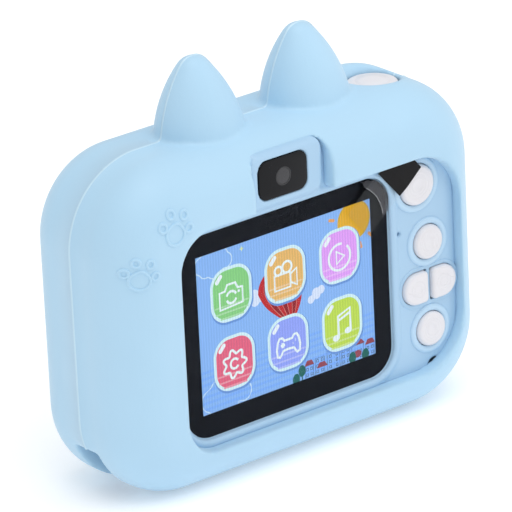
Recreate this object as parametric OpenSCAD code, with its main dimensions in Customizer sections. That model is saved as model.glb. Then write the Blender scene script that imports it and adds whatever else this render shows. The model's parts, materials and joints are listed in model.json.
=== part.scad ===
// Small digital camera for a child, in a soft silicone sleeve with two cat ears.
// Millimetres. X runs to the right seen from the screen side, Y runs from the
// screen side to the lens side, Z is up and Z = 0 is the flat base.

/* [Sleeve] */
// Width of the silicone sleeve
sleeve_w = 86.2; // [80:0.1:104]
// Height of the sleeve without its ears
sleeve_h = 64; // [58:0.5:78]
// Depth of the sleeve without the lens turret
sleeve_d = 28.5; // [26:0.5:36]
// Thickness of the silicone wall
sleeve_wall = 2.8; // [2:0.1:3.4]
// Corner radius of the front view
sleeve_corner_r = 16; // [12:0.5:20]
// Edge radius on the screen side
screen_edge_r = 9.8; // [6:0.1:10]
// Edge radius on the lens side
lens_edge_r = 7.8; // [5:0.1:9]

/* [Ears] */
// Width of an ear at its base
ear_w = 20.8; // [16:0.1:24]
// Depth of an ear at its base
ear_d = 12; // [8:0.5:14]
// Height of an ear above the sleeve
ear_h = 14.3; // [8:0.1:20]
// Radius of an ear's bowed sides
ear_side_r = 22; // [18:0.5:60]
// Radius of an ear's tip
ear_tip_r = 3.6; // [1:0.1:4.5]
// Distance between the two ears
ear_pitch = 24.8; // [23:0.1:32]
// Sideways offset of the pair of ears
ear_offset = 0.8; // [-4:0.1:4]

/* [Sleeve openings] */
// Gap between the screen opening's edge and the rim and buttons inside it
opening_gap = 0.4; // [0.3:0.1:0.8]
// Corner radius of the screen opening
opening_r = 7; // [4:0.5:9]
// Clearance between the raised camera bump and the notch round it
notch_gap = 0.3; // [0.2:0.05:0.6]
// Width of the strap slot in the lower left corner
strap_slot_w = 6.6; // [5:0.1:8]
// Angle that the strap slot covers round the corner
strap_slot_angle = 46; // [36:1:50]
// Width of the port opening in the right side
port_w = 7; // [6:0.1:8]
// Height of the port opening
port_h = 30; // [28:0.5:32]
// Height of the middle of the port opening
port_z = 28.6; // [27:0.1:30]

/* [Hard shells] */
// Gap between the sleeve and the hard shells
sleeve_gap = 0.2; // [0.15:0.05:0.3]
// Wall of the hard shells
shell_wall = 1.8; // [1.5:0.1:2.2]
// Outer edge radius of the hard shells
shell_edge_r = 4.5; // [3:0.1:5]
// Edge radius inside the hard shells
shell_inner_edge_r = 1.2; // [0.8:0.1:2]
// Place of the seam between the two shells
seam_y = -1; // [-1.4:0.1:-0.6]
// Length of the locating lip on the lens side shell
lip_len = 1.2; // [0.8:0.1:1.6]
// Thickness of the locating lip
lip_wall = 0.9; // [0.7:0.1:1.1]

/* [Screen] */
// Width of the clear window
window_w = 48.9; // [47:0.1:50]
// Height of the clear window
window_h = 39.6; // [38:0.1:40]
// Sideways place of the middle of the window
window_x = -3.05; // [-3.6:0.05:-2.6]
// Height of the middle of the window
window_z = 29.6; // [29:0.1:30]
// Corner radius of the window
window_r = 5.5; // [3:0.1:7]
// Thickness of the window
window_t = 0.6; // [0.5:0.05:0.8]
// How far the window stands in front of the button panel
window_proud = 0.2; // [0.1:0.05:0.3]
// Width of the raised rim round the window
rim_w = 1.4; // [1:0.1:1.6]
// Height of the raised rim above the button panel
rim_h = 0.5; // [0.4:0.05:0.8]
// Width of the picture area
picture_w = 40.85; // [38:0.05:41]
// Height of the picture area
picture_h = 30.6; // [28:0.1:31]
// Height of the middle of the picture area
picture_z = 29.8; // [29.5:0.1:30]
// Border of the display round its picture
display_border = 1.7; // [1.4:0.1:1.9]
// Thickness of the display glass
display_t = 1.3; // [1:0.1:1.6]
// Thickness of the backlight
backlight_t = 1; // [0.8:0.1:1.2]

/* [Rear camera] */
// Sideways place of the rear camera
rear_cam_x = -4; // [-4.4:0.1:-3]
// Height of the rear camera
rear_cam_z = 56.1; // [55.9:0.1:56.2]
// Width of the rear camera's window
rear_win_w = 11.3; // [10:0.1:12]
// Height of the rear camera's window
rear_win_h = 7.5; // [6.5:0.1:7.6]
// Width of the raised bump that holds it
bump_w = 19.4; // [17:0.1:21]
// Top of the raised bump
bump_top = 61.4; // [61:0.1:61.6]
// Height of the bump above the button panel
bump_out = 1.4; // [1.2:0.05:2]

/* [Buttons] */
// Diameter of the power button
power_d = 7.9; // [7:0.1:8.4]
// Diameter of the up and down buttons
step_d = 6.7; // [6:0.1:7]
// Length of the left and right pair of buttons
pair_w = 13.1; // [12.6:0.1:13.2]
// Gap between the left and right buttons
pair_gap = 0.7; // [0.6:0.05:0.8]
// Sideways place of the column of buttons
column_x = 30.35; // [30.1:0.05:30.4]
// Sideways place of the power button
power_x = 28.1; // [27.6:0.1:28.5]
// Height of the power button
power_z = 45.1; // [44.9:0.1:45.3]
// Height of the up button
up_z = 33.2; // [33:0.1:34]
// Height of the left and right pair
pair_z = 24.6; // [24.3:0.1:24.8]
// Height of the down button
down_z = 15.8; // [15.6:0.1:16.2]
// How far the buttons stand out of the panel
button_proud = 1; // [0.8:0.05:1.2]
// Travel of a button
button_travel = 0.5; // [0.3:0.05:0.5]
// Clearance round a button
button_gap = 0.2; // [0.15:0.05:0.3]
// Width of the flange that keeps a button in
flange_w = 0.6; // [0.4:0.05:0.7]
// Diameter of the shutter button
shutter_d = 8.8; // [8:0.1:9.2]
// Sideways place of the shutter button
shutter_x = 28.5; // [27.8:0.1:28.8]
// Depth place of the shutter button
shutter_y = -1; // [-1.4:0.1:-0.6]
// Height of the shutter button's face above the hard shells
shutter_proud = 1.1; // [0.8:0.1:2]
// Travel of the shutter button
shutter_travel = 0.6; // [0.4:0.05:0.6]

/* [Lens turret] */
// Diameter of the lens turret
turret_d = 31; // [28:0.5:32]
// How far the turret's ring stands out of the sleeve
turret_out = 3; // [2:0.1:4]
// Thickness of the trim ring
ring_t = 0.95; // [0.8:0.05:1.2]
// Diameter of the lens cover
cover_d = 21.8; // [20:0.1:23]
// Thickness of the lens cover
cover_t = 1; // [0.8:0.05:1.2]
// Diameter of the lens barrel
barrel_d = 9.2; // [8:0.1:10]
// Sideways place of the flash lamp
flash_x = 7.4; // [7:0.1:7.8]

/* [Inside] */
// Thickness of the main board
board_t = 1.2; // [1:0.1:1.6]
// Distance from the button panel to the main board
board_depth = 6.25; // [6:0.05:6.6]
// Length of the battery
battery_l = 32; // [28:0.5:33]
// Height of the battery
battery_w = 30; // [26:0.5:31]
// Thickness of the battery
battery_t = 4.7; // [3.5:0.1:5]
// Diameter of the speaker
speaker_d = 18; // [15:0.5:18.5]
// Thickness of the speaker
speaker_t = 3.6; // [3:0.1:4]
// Height of the memory card slot
card_z = 34.6; // [34.2:0.1:35]
// Height of the charging socket
usb_z = 20.4; // [19.8:0.1:21]

/* [Hidden] */

eps = 0.01;
far = 60; // longer than any cut needs to be
round_fn = 64;
hull_fn = 32;
arc_steps = 6;

// Depth planes, from the screen side to the lens side
sleeve_front_y = -(sleeve_d + turret_out) / 2;
sleeve_back_y = sleeve_front_y + sleeve_d;
turret_y = sleeve_back_y + turret_out;
cavity_front_y = sleeve_front_y + sleeve_wall;
panel_y = cavity_front_y + sleeve_gap;
panel_in_y = panel_y + shell_wall;
shell_back_y = sleeve_back_y - sleeve_wall - sleeve_gap;
shell_back_in_y = shell_back_y - shell_wall;
board_front_y = panel_y + board_depth;
board_back_y = board_front_y + board_t;

// Outlines of the sleeve's cavity and of the shells
cavity_w = sleeve_w - 2 * sleeve_wall;
cavity_h = sleeve_h - 2 * sleeve_wall;
cavity_r = sleeve_corner_r - sleeve_wall;
shell_w = cavity_w - 2 * sleeve_gap;
shell_h = cavity_h - 2 * sleeve_gap;
shell_r = cavity_r - sleeve_gap;
shell_z = sleeve_wall + sleeve_gap;
shell_top = shell_z + shell_h;
inner_w = shell_w - 2 * shell_wall;
inner_h = shell_h - 2 * shell_wall;
inner_r = shell_r - shell_wall;
inner_z = shell_z + shell_wall;
inner_top = inner_z + inner_h;
shell_d = shell_back_y - panel_y;

// Edges of the sleeve's screen opening
opening_left = window_x - window_w / 2 - rim_w - opening_gap;
opening_right = column_x + pair_w / 2 + opening_gap;
opening_bottom = window_z - window_h / 2 - rim_w - opening_gap;
opening_top = window_z + window_h / 2 + rim_w + opening_gap;

// The screen's stack
window_y = panel_y - window_proud;
border_t = 0.1;
tape_t = 0.15;
window_back_y = window_y + window_t;
ledge_y = window_back_y + border_t + tape_t;
window_gap = 0.1;
picture_x = window_x - 0.05;
display_w = picture_w + 2 * display_border;
display_h = picture_h + 2 * display_border;
display_y = window_back_y + border_t + 0.05;
backlight_y = display_y + display_t;
backlight_back_y = backlight_y + backlight_t;
display_gap = 0.2;

// The rear camera's bump
bump_y = panel_y - bump_out;
bump_bottom = window_z + window_h / 2 + rim_w - 0.4;
bump_corner_r = 2.6;
bump_edge_r = 1.5;
bump_wall = 1.5;
bump_in_y = bump_y + bump_wall;
rear_win_t = 0.8;
rear_win_gap = 0.1;
rear_win_r = 2;
rear_lens_r = 1.5;
rear_mod_w = 6;
rear_mod_back_y = panel_in_y + 1.95;

// Buttons
cap_y = panel_y - button_proud;
flange_y = panel_in_y + 0.2;
flange_t = 0.9;
stem_r = 1.4;
plunger_y = board_front_y - 2.2;
plunger_len = 1.4;
plunger_r = 1;
switch_t = 1.5;
switch_w = 5.2;
plunger_gap = 0.15;
pair_h = step_d;
key_w = (pair_w - pair_gap) / 2;
left_x = column_x - (pair_gap + key_w) / 2;
right_x = column_x + (pair_gap + key_w) / 2;
KEYS = [
    [power_x, power_z],
    [column_x, up_z],
    [left_x, pair_z],
    [right_x, pair_z],
    [column_x, down_z]];

// Shutter button
shutter_top = shell_top + shutter_proud;
shutter_flange_top = inner_top - 1.05;
shutter_flange_t = 0.95;
shutter_flange_r = shutter_d / 2 + 0.8;
shutter_flange_right = 2.8;
shutter_stem_y = board_back_y + 1.4;
shutter_hole_r = shutter_d / 2 + 0.6;
shutter_switch_top = inner_top - 4.6;
shutter_plunger_top = shutter_switch_top + 1.1;

// Turret
turret_r = turret_d / 2;
turret_face_y = turret_y - ring_t;
turret_plate_t = 1.8;
turret_in_y = turret_face_y - turret_plate_t;
turret_wall = 1.8;
turret_gap = 0.3;
lens_z = 32;
ring_outer_r = turret_r - 0.9;
ring_inner_r = cover_d / 2 + 0.3;
cover_y = turret_face_y - cover_t + 0.1;
cover_recess_r = cover_d / 2 + 0.1;
barrel_gap = 0.4;
barrel_front_y = cover_y - 0.3;
camera_board_y = shell_back_in_y - 2.05;
camera_board_t = 1;
CAMERA_POSTS = [[-7.2, lens_z - 4.7], [7.2, lens_z + 4.7]];
camera_post_r = 1.9;
camera_board_w = 20.4;
camera_board_h = 14.4;
flash_r = 1.5;
lens_element_r = 3.3;

// Case screws, seen from the screen side
SCREWS = [
    [-33.5, 17.5],
    [31, 8.5],
    [-31, shell_top - 6],
    [35, inner_top - 5.7]];
boss_r = 3.2;
boss_back_r = 2.6;
screw_r = 1;
screw_head_r = 1.9;
screw_head_t = 1.4;
counterbore_r = 2.5;
screw_seat_y = -4;
screw_tip_y = 4;
screw_gap = 0.08;

// Board screws
BOARD_SCREWS = [
    [-22, inner_z + 3.8],
    [16, inner_z + 3.8],
    [-22, inner_top - 8.6],
    [16, inner_top - 8.6]];
board_boss_r = 2.2;
board_screw_head_r = 1.8;
board_screw_head_t = 1.2;
board_screw_len = 3;

// Main board outline
board_left = -26;
board_right = inner_w / 2 - 1.1;
board_bottom = inner_z + 1.7;
board_top = inner_top - 5.2;
board_notch_r = 3.8;
board_gap = 0.5;
board_plug_z = picture_z - display_h / 2 + 1.4;
camera_plug_z = 46;

// Sockets on the board's back
card_l = 15;
card_w = 11;
card_t = 0.9;
card_end_x = shell_w / 2 - 0.2;
card_y = board_back_y + 0.6;
card_socket_l = 14.6;
card_socket_w = 14;
card_socket_t = 1.9;
card_gap = 0.15;
usb_w = 7.6;
usb_t = 2.7;
usb_l = 5.4;
port_y = board_back_y + 1.4;

// Strap slot
strap_centre = [-(shell_w / 2 - shell_r), shell_z + shell_r];
strap_angle = 225;
pocket_depth = 4.4;
pocket_wall = 1.4;
bar_t = 2;
bar_w = 3.4;
bar_hold = 7;

// Battery, speaker and microphone
battery_x = -8.5;
battery_z = 28;
battery_tape_t = 0.2;
battery_y = board_back_y + battery_tape_t;
battery_plug_x = 7;
battery_plug_z = inner_z + 3.4;
lead_r = 0.5;
speaker_x = 26.5;
speaker_z = 24;
speaker_y = shell_back_in_y - speaker_t - 0.1;
speaker_ring_t = 0.8;
speaker_lead_x = 22;
grille_r = 0.9;
grille_pitch = 3.2;
mic_x = 23.7;
mic_z = 36.4;
mic_hole_r = 0.45;
mic_r = 2;
mic_t = 1.8;

// Film on the window, with its pull tab
film_t = 0.1;
film_inset = 0.2;
tab_w = 7.4;
tab_clear_l = 9.5;
tab_dark_l = 6.75;
tab_t = 0.12;
tab_angle = 40.6;
tab_x = 21;
tab_z = 47.2;
tab_lift_y = cap_y - 0.2;

BLUE = [0.7, 0.88, 0.96];
SHELL_BLUE = [0.68, 0.8, 0.92];
WHITE = [0.93, 0.92, 0.93];
BLACK = [0.13, 0.13, 0.15];
STEEL = [0.75, 0.76, 0.78];
BOARD_GREEN = [0.1, 0.42, 0.26];

// ---- shared shapes ----

// Points of an arc about [cx, cy], from angle a to angle b
function arc(cx, cy, r, a, b) =
    [for (i = [0:arc_steps]) let (t = a + (b - a) * i / arc_steps) [cx + r * cos(t), cy + r * sin(t)]];

// Round post along Z with rounded edges at both ends
module corner_post(r, d, edge_a, edge_b) {
    rotate_extrude($fn = hull_fn)
        polygon(concat(
            [[0, 0]],
            arc(r - edge_a, edge_a, edge_a, -90, 0),
            arc(r - edge_b, d - edge_b, edge_b, 0, 90),
            [[0, d]]));
}

// Rounded box with its first face at Y = 0, standing on Z = 0
module soft_box(w, h, d, corner, edge_a, edge_b) {
    hull()
        for (x = [corner - w / 2, w / 2 - corner])
            for (z = [corner, h - corner])
                translate([x, 0, z])
                    rotate([-90, 0, 0])
                        corner_post(corner, d, edge_a, edge_b);
}

// Rectangle with round corners, centred
module round_rect(w, h, r) {
    square([w - 2 * r, h], center = true);
    square([w, h - 2 * r], center = true);
    for (x = [r - w / 2, w / 2 - r])
        for (y = [r - h / 2, h / 2 - r])
            translate([x, y])
                circle(r = r, $fn = round_fn);
}

// Extrudes an X-Z outline along Y, from y0 to y1
module slab(y0, y1) {
    translate([0, y1, 0])
        rotate([90, 0, 0])
            linear_extrude(height = y1 - y0)
                children();
}

// Cylinder along Y at [x, z], from y0 to y1
module rod_y(x, z, r, y0, y1) {
    translate([x, y0, z])
        rotate([-90, 0, 0])
            cylinder(r = r, h = y1 - y0, $fn = round_fn);
}

// Box between two corners
module block(x0, x1, y0, y1, z0, z1) {
    translate([x0, y0, z0])
        cube([x1 - x0, y1 - y0, z1 - z0]);
}

// Part of a ring round the lower left corner, over an angle centred on the slot
module corner_ring(r0, r1, angle, y0, y1) {
    translate([strap_centre[0], y1, strap_centre[1]])
        rotate([90, 0, 0])
            rotate([0, 0, strap_angle - angle / 2])
                rotate_extrude(angle = angle, $fn = round_fn)
                    translate([r0, 0])
                        square([r1 - r0, y1 - y0]);
}

// ---- silicone sleeve ----

// Half of an ear's outline: a bowed side that runs smoothly into a round tip
module ear_profile() {
    half = ear_w / 2;
    tip_z = ear_h - ear_tip_r;
    span = sqrt(half * half + tip_z * tip_z);
    inner = ear_side_r - ear_tip_r;
    along = (inner * inner - ear_side_r * ear_side_r + span * span) / (2 * span);
    across = sqrt(inner * inner - along * along);
    centre_x = (half * along - tip_z * across) / span;
    centre_z = tip_z - (tip_z * along + half * across) / span;
    base_angle = atan2(-centre_z, half - centre_x);
    tip_angle = atan2(tip_z - centre_z, -centre_x);
    root = sleeve_wall * 0.7;
    polygon(concat(
        [[0, -root], [half, -root]],
        arc(centre_x, centre_z, ear_side_r, base_angle, tip_angle),
        arc(0, tip_z, ear_tip_r, tip_angle, 90)));
}

module ear(x) {
    translate([x, seam_y, sleeve_h])
        scale([1, ear_d / ear_w, 1])
            rotate_extrude($fn = 44)
                ear_profile();
}

// Outline of the screen opening
module opening_outline() {
    translate([(opening_left + opening_right) / 2, (opening_bottom + opening_top) / 2])
        round_rect(opening_right - opening_left, opening_top - opening_bottom, opening_r);
}

// Outline of the notch round the rear camera's bump
module notch_outline() {
    notch_bottom = opening_top - opening_r;
    notch_top = bump_top + notch_gap;
    translate([rear_cam_x, (notch_bottom + notch_top) / 2])
        round_rect(bump_w + 2 * notch_gap, notch_top - notch_bottom, bump_corner_r);
}

// Seven small holes over the speaker
module grille(y0, y1) {
    rod_y(speaker_x, speaker_z, grille_r, y0, y1);
    for (a = [0:60:300])
        rod_y(speaker_x + grille_pitch * cos(a), speaker_z + grille_pitch * sin(a), grille_r, y0, y1);
}

module port_outline(w, h) {
    translate([port_y, port_z])
        round_rect(w, h, w / 2 - 0.3);
}

module silicone_sleeve() {
    color(BLUE)
        difference() {
            union() {
                translate([0, sleeve_front_y, 0])
                    soft_box(sleeve_w, sleeve_h, sleeve_d, sleeve_corner_r, screen_edge_r, lens_edge_r);
                for (side = [-1, 1])
                    ear(ear_offset + side * ear_pitch / 2);
            }
            translate([0, cavity_front_y, sleeve_wall])
                soft_box(cavity_w, cavity_h, sleeve_d - 2 * sleeve_wall, cavity_r,
                    shell_edge_r + sleeve_gap, shell_edge_r + sleeve_gap);
            slab(sleeve_front_y - 1, panel_y + 1.2) {
                opening_outline();
                notch_outline();
            }
            rod_y(0, lens_z, turret_r + turret_gap, shell_back_y - 1, turret_y);
            grille(shell_back_y - 1, turret_y);
            translate([shutter_x, shutter_y, shell_top - 4])
                cylinder(r = shutter_hole_r, h = far, $fn = round_fn);
            translate([shell_w / 2 - 2, 0, 0])
                rotate([90, 0, 90])
                    linear_extrude(height = 10)
                        port_outline(port_w, port_h);
            corner_ring(cavity_r - 1, sleeve_corner_r + 2, strap_slot_angle,
                seam_y - strap_slot_w / 2, seam_y + strap_slot_w / 2);
        }
}

// ---- hard shells ----

module shell_outer() {
    translate([0, panel_y, shell_z])
        soft_box(shell_w, shell_h, shell_d, shell_r, shell_edge_r, shell_edge_r);
}

module shell_inner() {
    translate([0, panel_in_y, inner_z])
        soft_box(inner_w, inner_h, shell_d - 2 * shell_wall, inner_r, shell_inner_edge_r, shell_inner_edge_r);
}

module shell_outline(inset) {
    translate([0, shell_z + shell_h / 2])
        round_rect(shell_w - 2 * inset, shell_h - 2 * inset, shell_r - inset);
}

// Round pocket behind the strap bar, with a wall round it
module strap_block() {
    corner_ring(shell_r - pocket_depth - pocket_wall, shell_r - 0.4, strap_slot_angle + 14,
        seam_y - strap_slot_w / 2 - pocket_wall, seam_y + strap_slot_w / 2 + pocket_wall);
}

module strap_pocket() {
    corner_ring(shell_r - pocket_depth, shell_r + 2, strap_slot_angle - 2,
        seam_y - strap_slot_w / 2, seam_y + strap_slot_w / 2);
}

module bar_slot(gap) {
    corner_ring(shell_r - bar_t - 0.4 - gap, shell_r - 0.4 + gap, strap_slot_angle - 2 + 2 * bar_hold,
        seam_y - bar_w / 2 - gap, seam_y + bar_w / 2 + gap);
}

// The hole for the shutter button goes through both shells
module shutter_shell_hole() {
    translate([shutter_x, shutter_y, shutter_flange_top - 3])
        cylinder(r = shutter_d / 2 + button_gap, h = far, $fn = round_fn);
}

module key_outline(side, grow) {
    centre_x = side < 0 ? left_x : right_x;
    inner_x = centre_x - side * key_w / 2 - side * min(grow, pair_gap / 2 - 0.05);
    outer_x = column_x + side * (pair_w / 2 - pair_h / 2);
    translate([(inner_x + outer_x) / 2, pair_z])
        square([abs(outer_x - inner_x), pair_h + 2 * grow], center = true);
    translate([outer_x, pair_z])
        intersection() {
            circle(r = pair_h / 2 + grow, $fn = round_fn);
            translate([side * pair_h, 0])
                square([2 * pair_h, 2 * pair_h], center = true);
        }
}

module button_holes() {
    y0 = panel_y - 1;
    y1 = panel_in_y + 1;
    rod_y(power_x, power_z, power_d / 2 + button_gap, y0, y1);
    rod_y(column_x, up_z, step_d / 2 + button_gap, y0, y1);
    rod_y(column_x, down_z, step_d / 2 + button_gap, y0, y1);
    slab(y0, y1)
        translate([column_x, pair_z])
            round_rect(pair_w + 2 * button_gap, pair_h + 2 * button_gap, pair_h / 2 + button_gap - eps);
}

module rear_shell() {
    color(SHELL_BLUE)
        difference() {
            union() {
                difference() {
                    shell_outer();
                    shell_inner();
                }
                slab(panel_y - rim_h, panel_y + 0.5)
                    translate([window_x, window_z])
                        round_rect(window_w + 2 * rim_w, window_h + 2 * rim_w, window_r + rim_w);
                translate([rear_cam_x, bump_y, bump_bottom])
                    soft_box(bump_w, bump_top - bump_bottom, bump_out + 1.2, bump_corner_r, bump_edge_r, 0.2);
                for (p = SCREWS)
                    intersection() {
                        rod_y(p[0], p[1], boss_r, panel_y + 0.3, seam_y);
                        shell_outer();
                    }
                for (p = BOARD_SCREWS)
                    rod_y(p[0], p[1], board_boss_r, panel_in_y - 0.2, board_front_y);
                strap_block();
            }
            slab(panel_y - 2, ledge_y)
                translate([window_x, window_z])
                    round_rect(window_w + 2 * window_gap, window_h + 2 * window_gap, window_r);
            slab(panel_y, panel_in_y + 1)
                translate([picture_x, picture_z])
                    square([display_w + 2 * display_gap, display_h + 2 * display_gap], center = true);
            button_holes();
            rod_y(mic_x, mic_z, mic_hole_r, panel_y - 1, panel_in_y + 1);
            slab(bump_y - 1, bump_y + rear_win_t + rear_win_gap)
                translate([rear_cam_x, rear_cam_z])
                    round_rect(rear_win_w + 2 * rear_win_gap, rear_win_h + 2 * rear_win_gap, rear_win_r);
            rod_y(rear_cam_x, rear_cam_z, 2.3, bump_y, panel_in_y);
            block(rear_cam_x - 5, rear_cam_x + 5, bump_in_y, panel_in_y + 1, bump_bottom + 1, inner_top - 0.1);
            for (p = SCREWS) {
                rod_y(p[0], p[1], counterbore_r, sleeve_front_y, screw_seat_y);
                rod_y(p[0], p[1], screw_r + screw_gap, screw_seat_y - 1, seam_y + 1);
            }
            for (p = BOARD_SCREWS)
                rod_y(p[0], p[1], screw_r + screw_gap, board_front_y - board_screw_len, board_front_y + 1);
            strap_pocket();
            bar_slot(0.05);
            shutter_shell_hole();
            block(inner_w / 2 - 1, shell_w, board_back_y - 0.05, board_back_y + usb_t + 0.3,
                usb_z - usb_w / 2 - 0.3, usb_z + usb_w / 2 + 0.3);
            block(inner_w / 2 - 1, shell_w, card_y - 0.35, card_y + card_t + 0.35,
                card_z - card_w / 2 - 0.4, card_z + card_w / 2 + 0.4);
            block(-far, far, seam_y, far, -far, far + sleeve_h);
        }
}

module front_shell() {
    color(SHELL_BLUE)
        difference() {
            union() {
                intersection() {
                    difference() {
                        shell_outer();
                        shell_inner();
                    }
                    block(-far, far, seam_y, far, -far, far + sleeve_h);
                }
                rod_y(0, lens_z, turret_r, shell_back_in_y, turret_face_y);
                intersection() {
                    for (p = SCREWS)
                        rod_y(p[0], p[1], boss_back_r, seam_y, shell_back_in_y + 0.5);
                    shell_outer();
                }
                rod_y(speaker_x, speaker_z, speaker_d / 2 + 0.1 + speaker_ring_t,
                    speaker_y + 0.4, shell_back_in_y + 0.5);
                intersection() {
                    strap_block();
                    block(-far, far, seam_y, far, -far, far);
                }
                locating_lip();
            }
            difference() {
                rod_y(0, lens_z, turret_r - turret_wall, shell_back_in_y - 1, turret_in_y);
                for (p = CAMERA_POSTS)
                    rod_y(p[0], p[1], camera_post_r, camera_board_y + camera_board_t, turret_in_y + 1);
            }
            rod_y(0, lens_z, cover_recess_r, cover_y, turret_y);
            rod_y(0, lens_z, barrel_d / 2 + barrel_gap, shell_back_in_y, turret_y);
            rod_y(flash_x, lens_z, flash_r + 0.1, turret_in_y - 1, turret_y);
            for (p = CAMERA_POSTS)
                rod_y(p[0], p[1], screw_r + screw_gap,
                    camera_board_y, camera_board_y + camera_board_t + board_screw_len);
            rod_y(speaker_x, speaker_z, speaker_d / 2 + 0.1, seam_y, shell_back_in_y);
            grille(shell_back_in_y - 1, turret_y);
            for (p = SCREWS)
                rod_y(p[0], p[1], screw_r + screw_gap, seam_y - 2, screw_tip_y + 1);
            strap_pocket();
            bar_slot(0.05);
            shutter_shell_hole();
        }
}

// Lip of the lens side shell that locates it inside the screen side shell
module locating_lip() {
    difference() {
        slab(seam_y - lip_len, seam_y + 1)
            difference() {
                shell_outline(shell_wall + 0.1);
                shell_outline(shell_wall + 0.1 + lip_wall);
            }
        for (p = SCREWS)
            rod_y(p[0], p[1], boss_r + 0.2, seam_y - far, seam_y);
        corner_ring(1, shell_r + 4, strap_slot_angle + 18, seam_y - far, seam_y);
        translate([shutter_x, shutter_y, shell_top - far / 2])
            cylinder(r = shutter_d / 2 + 1.2, h = far, $fn = round_fn);
    }
}

module lanyard_bar() {
    color(SHELL_BLUE)
        bar_slot(0);
}

// ---- screen ----

module window_outline() {
    translate([window_x, window_z])
        round_rect(window_w, window_h, window_r - window_gap);
}

module picture_outline(grow) {
    translate([picture_x, picture_z])
        square([picture_w + 2 * grow, picture_h + 2 * grow], center = true);
}

module screen_window() {
    color(BLACK, 0.4)
        slab(window_y, window_back_y)
            window_outline();
}

module window_border() {
    color(BLACK)
        slab(window_back_y, window_back_y + border_t)
            difference() {
                window_outline();
                picture_outline(0.1);
            }
}

module window_tape() {
    color("dimgray")
        slab(window_back_y + border_t, ledge_y)
            difference() {
                window_outline();
                picture_outline(display_border + display_gap);
            }
}

module display_panel() {
    color("royalblue")
        slab(display_y, backlight_y)
            translate([picture_x, picture_z])
                square([display_w, display_h], center = true);
}

module display_backlight() {
    color(WHITE)
        slab(backlight_y, backlight_back_y)
            translate([picture_x, picture_z])
                square([display_w, display_h], center = true);
}

// Ribbon from the display's lower edge round to the main board
module display_flex() {
    fold_z = picture_z - display_h / 2 - 1.2;
    color("darkorange")
        union() {
            block(-14, 6, backlight_back_y, backlight_back_y + 0.2, fold_z, fold_z + 4);
            block(-14, 6, backlight_back_y, board_front_y - 0.6, fold_z, fold_z + 0.2);
            block(-14, 6, board_front_y - 0.8, board_front_y - 0.6, fold_z, board_plug_z);
        }
}

// ---- rear camera ----

module rear_lens_window() {
    color(BLACK)
        slab(bump_y + 0.02, bump_y + rear_win_t)
            translate([rear_cam_x, rear_cam_z])
                round_rect(rear_win_w, rear_win_h, rear_win_r);
}

module rear_camera_module() {
    color(BLACK)
        difference() {
            union() {
                block(rear_cam_x - rear_mod_w / 2, rear_cam_x + rear_mod_w / 2, bump_in_y + 0.2,
                    rear_mod_back_y, rear_cam_z - rear_mod_w / 2, rear_cam_z + rear_mod_w / 2);
                rod_y(rear_cam_x, rear_cam_z, 2.1, bump_y + rear_win_t + 0.3, bump_in_y + 1);
            }
            rod_y(rear_cam_x, rear_cam_z, rear_lens_r, bump_y, bump_in_y + 1);
        }
}

module rear_camera_lens() {
    color("slategray")
        rod_y(rear_cam_x, rear_cam_z, rear_lens_r, bump_y + rear_win_t + 0.5, bump_in_y + 1);
}

module rear_camera_flex() {
    plug_z = rear_cam_z - 5.7;
    color("darkorange")
        union() {
            block(rear_cam_x - 2.5, rear_cam_x + 2.5, rear_mod_back_y, rear_mod_back_y + 0.2,
                plug_z - 0.2, rear_cam_z + 1);
            block(rear_cam_x - 2.5, rear_cam_x + 2.5, rear_mod_back_y, board_front_y - 0.5,
                plug_z - 0.2, plug_z);
        }
}

// ---- buttons ----

// Cap, retaining flange and stem of a round button
module round_button(x, z, d) {
    color(WHITE)
        union() {
            rod_y(x, z, d / 2, cap_y, flange_y + 0.1);
            rod_y(x, z, d / 2 + flange_w, flange_y, flange_y + flange_t);
            rod_y(x, z, stem_r, flange_y + flange_t - 0.1, plunger_y);
        }
}

module half_button(side) {
    color(WHITE)
        union() {
            slab(cap_y, flange_y + 0.1)
                key_outline(side, 0);
            slab(flange_y, flange_y + flange_t)
                key_outline(side, flange_w - 0.2);
            rod_y(side < 0 ? left_x : right_x, pair_z, stem_r, flange_y + flange_t - 0.1, plunger_y);
        }
}

module power_button() { round_button(power_x, power_z, power_d); }
module up_button() { round_button(column_x, up_z, step_d); }
module down_button() { round_button(column_x, down_z, step_d); }
module left_button() { half_button(-1); }
module right_button() { half_button(1); }

module shutter_button() {
    color(WHITE)
        translate([shutter_x, 0, 0]) {
            translate([0, shutter_y, shutter_flange_top - 0.1])
                cylinder(r = shutter_d / 2, h = shutter_top - shutter_flange_top + 0.1, $fn = round_fn);
            intersection() {
                translate([0, shutter_y, shutter_flange_top - shutter_flange_t])
                    cylinder(r = shutter_flange_r, h = shutter_flange_t, $fn = round_fn);
                block(-far, shutter_flange_right, -far, far, 0, far + sleeve_h);
            }
            translate([0, shutter_stem_y, shutter_plunger_top])
                cylinder(r = stem_r, h = shutter_flange_top - shutter_plunger_top - 0.2, $fn = round_fn);
        }
}

// Plunger of a key switch, which its button pushes
module plunger(x, z) {
    color("gray")
        rod_y(x, z, plunger_r, plunger_y, plunger_y + plunger_len);
}

module power_plunger() { plunger(power_x, power_z); }
module up_plunger() { plunger(column_x, up_z); }
module left_plunger() { plunger(left_x, pair_z); }
module right_plunger() { plunger(right_x, pair_z); }
module down_plunger() { plunger(column_x, down_z); }

module shutter_plunger() {
    color("gray")
        translate([shutter_x, shutter_stem_y, shutter_plunger_top - 2.1])
            cylinder(r = 0.8, h = 2.1, $fn = round_fn);
}

module key_switches() {
    color(STEEL)
        for (p = KEYS)
            difference() {
                block(p[0] - switch_w / 2, p[0] + switch_w / 2, board_front_y - switch_t,
                    board_front_y, p[1] - switch_w / 2, p[1] + switch_w / 2);
                rod_y(p[0], p[1], plunger_r + plunger_gap, board_front_y - 3, board_front_y - 0.2);
            }
}

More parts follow.
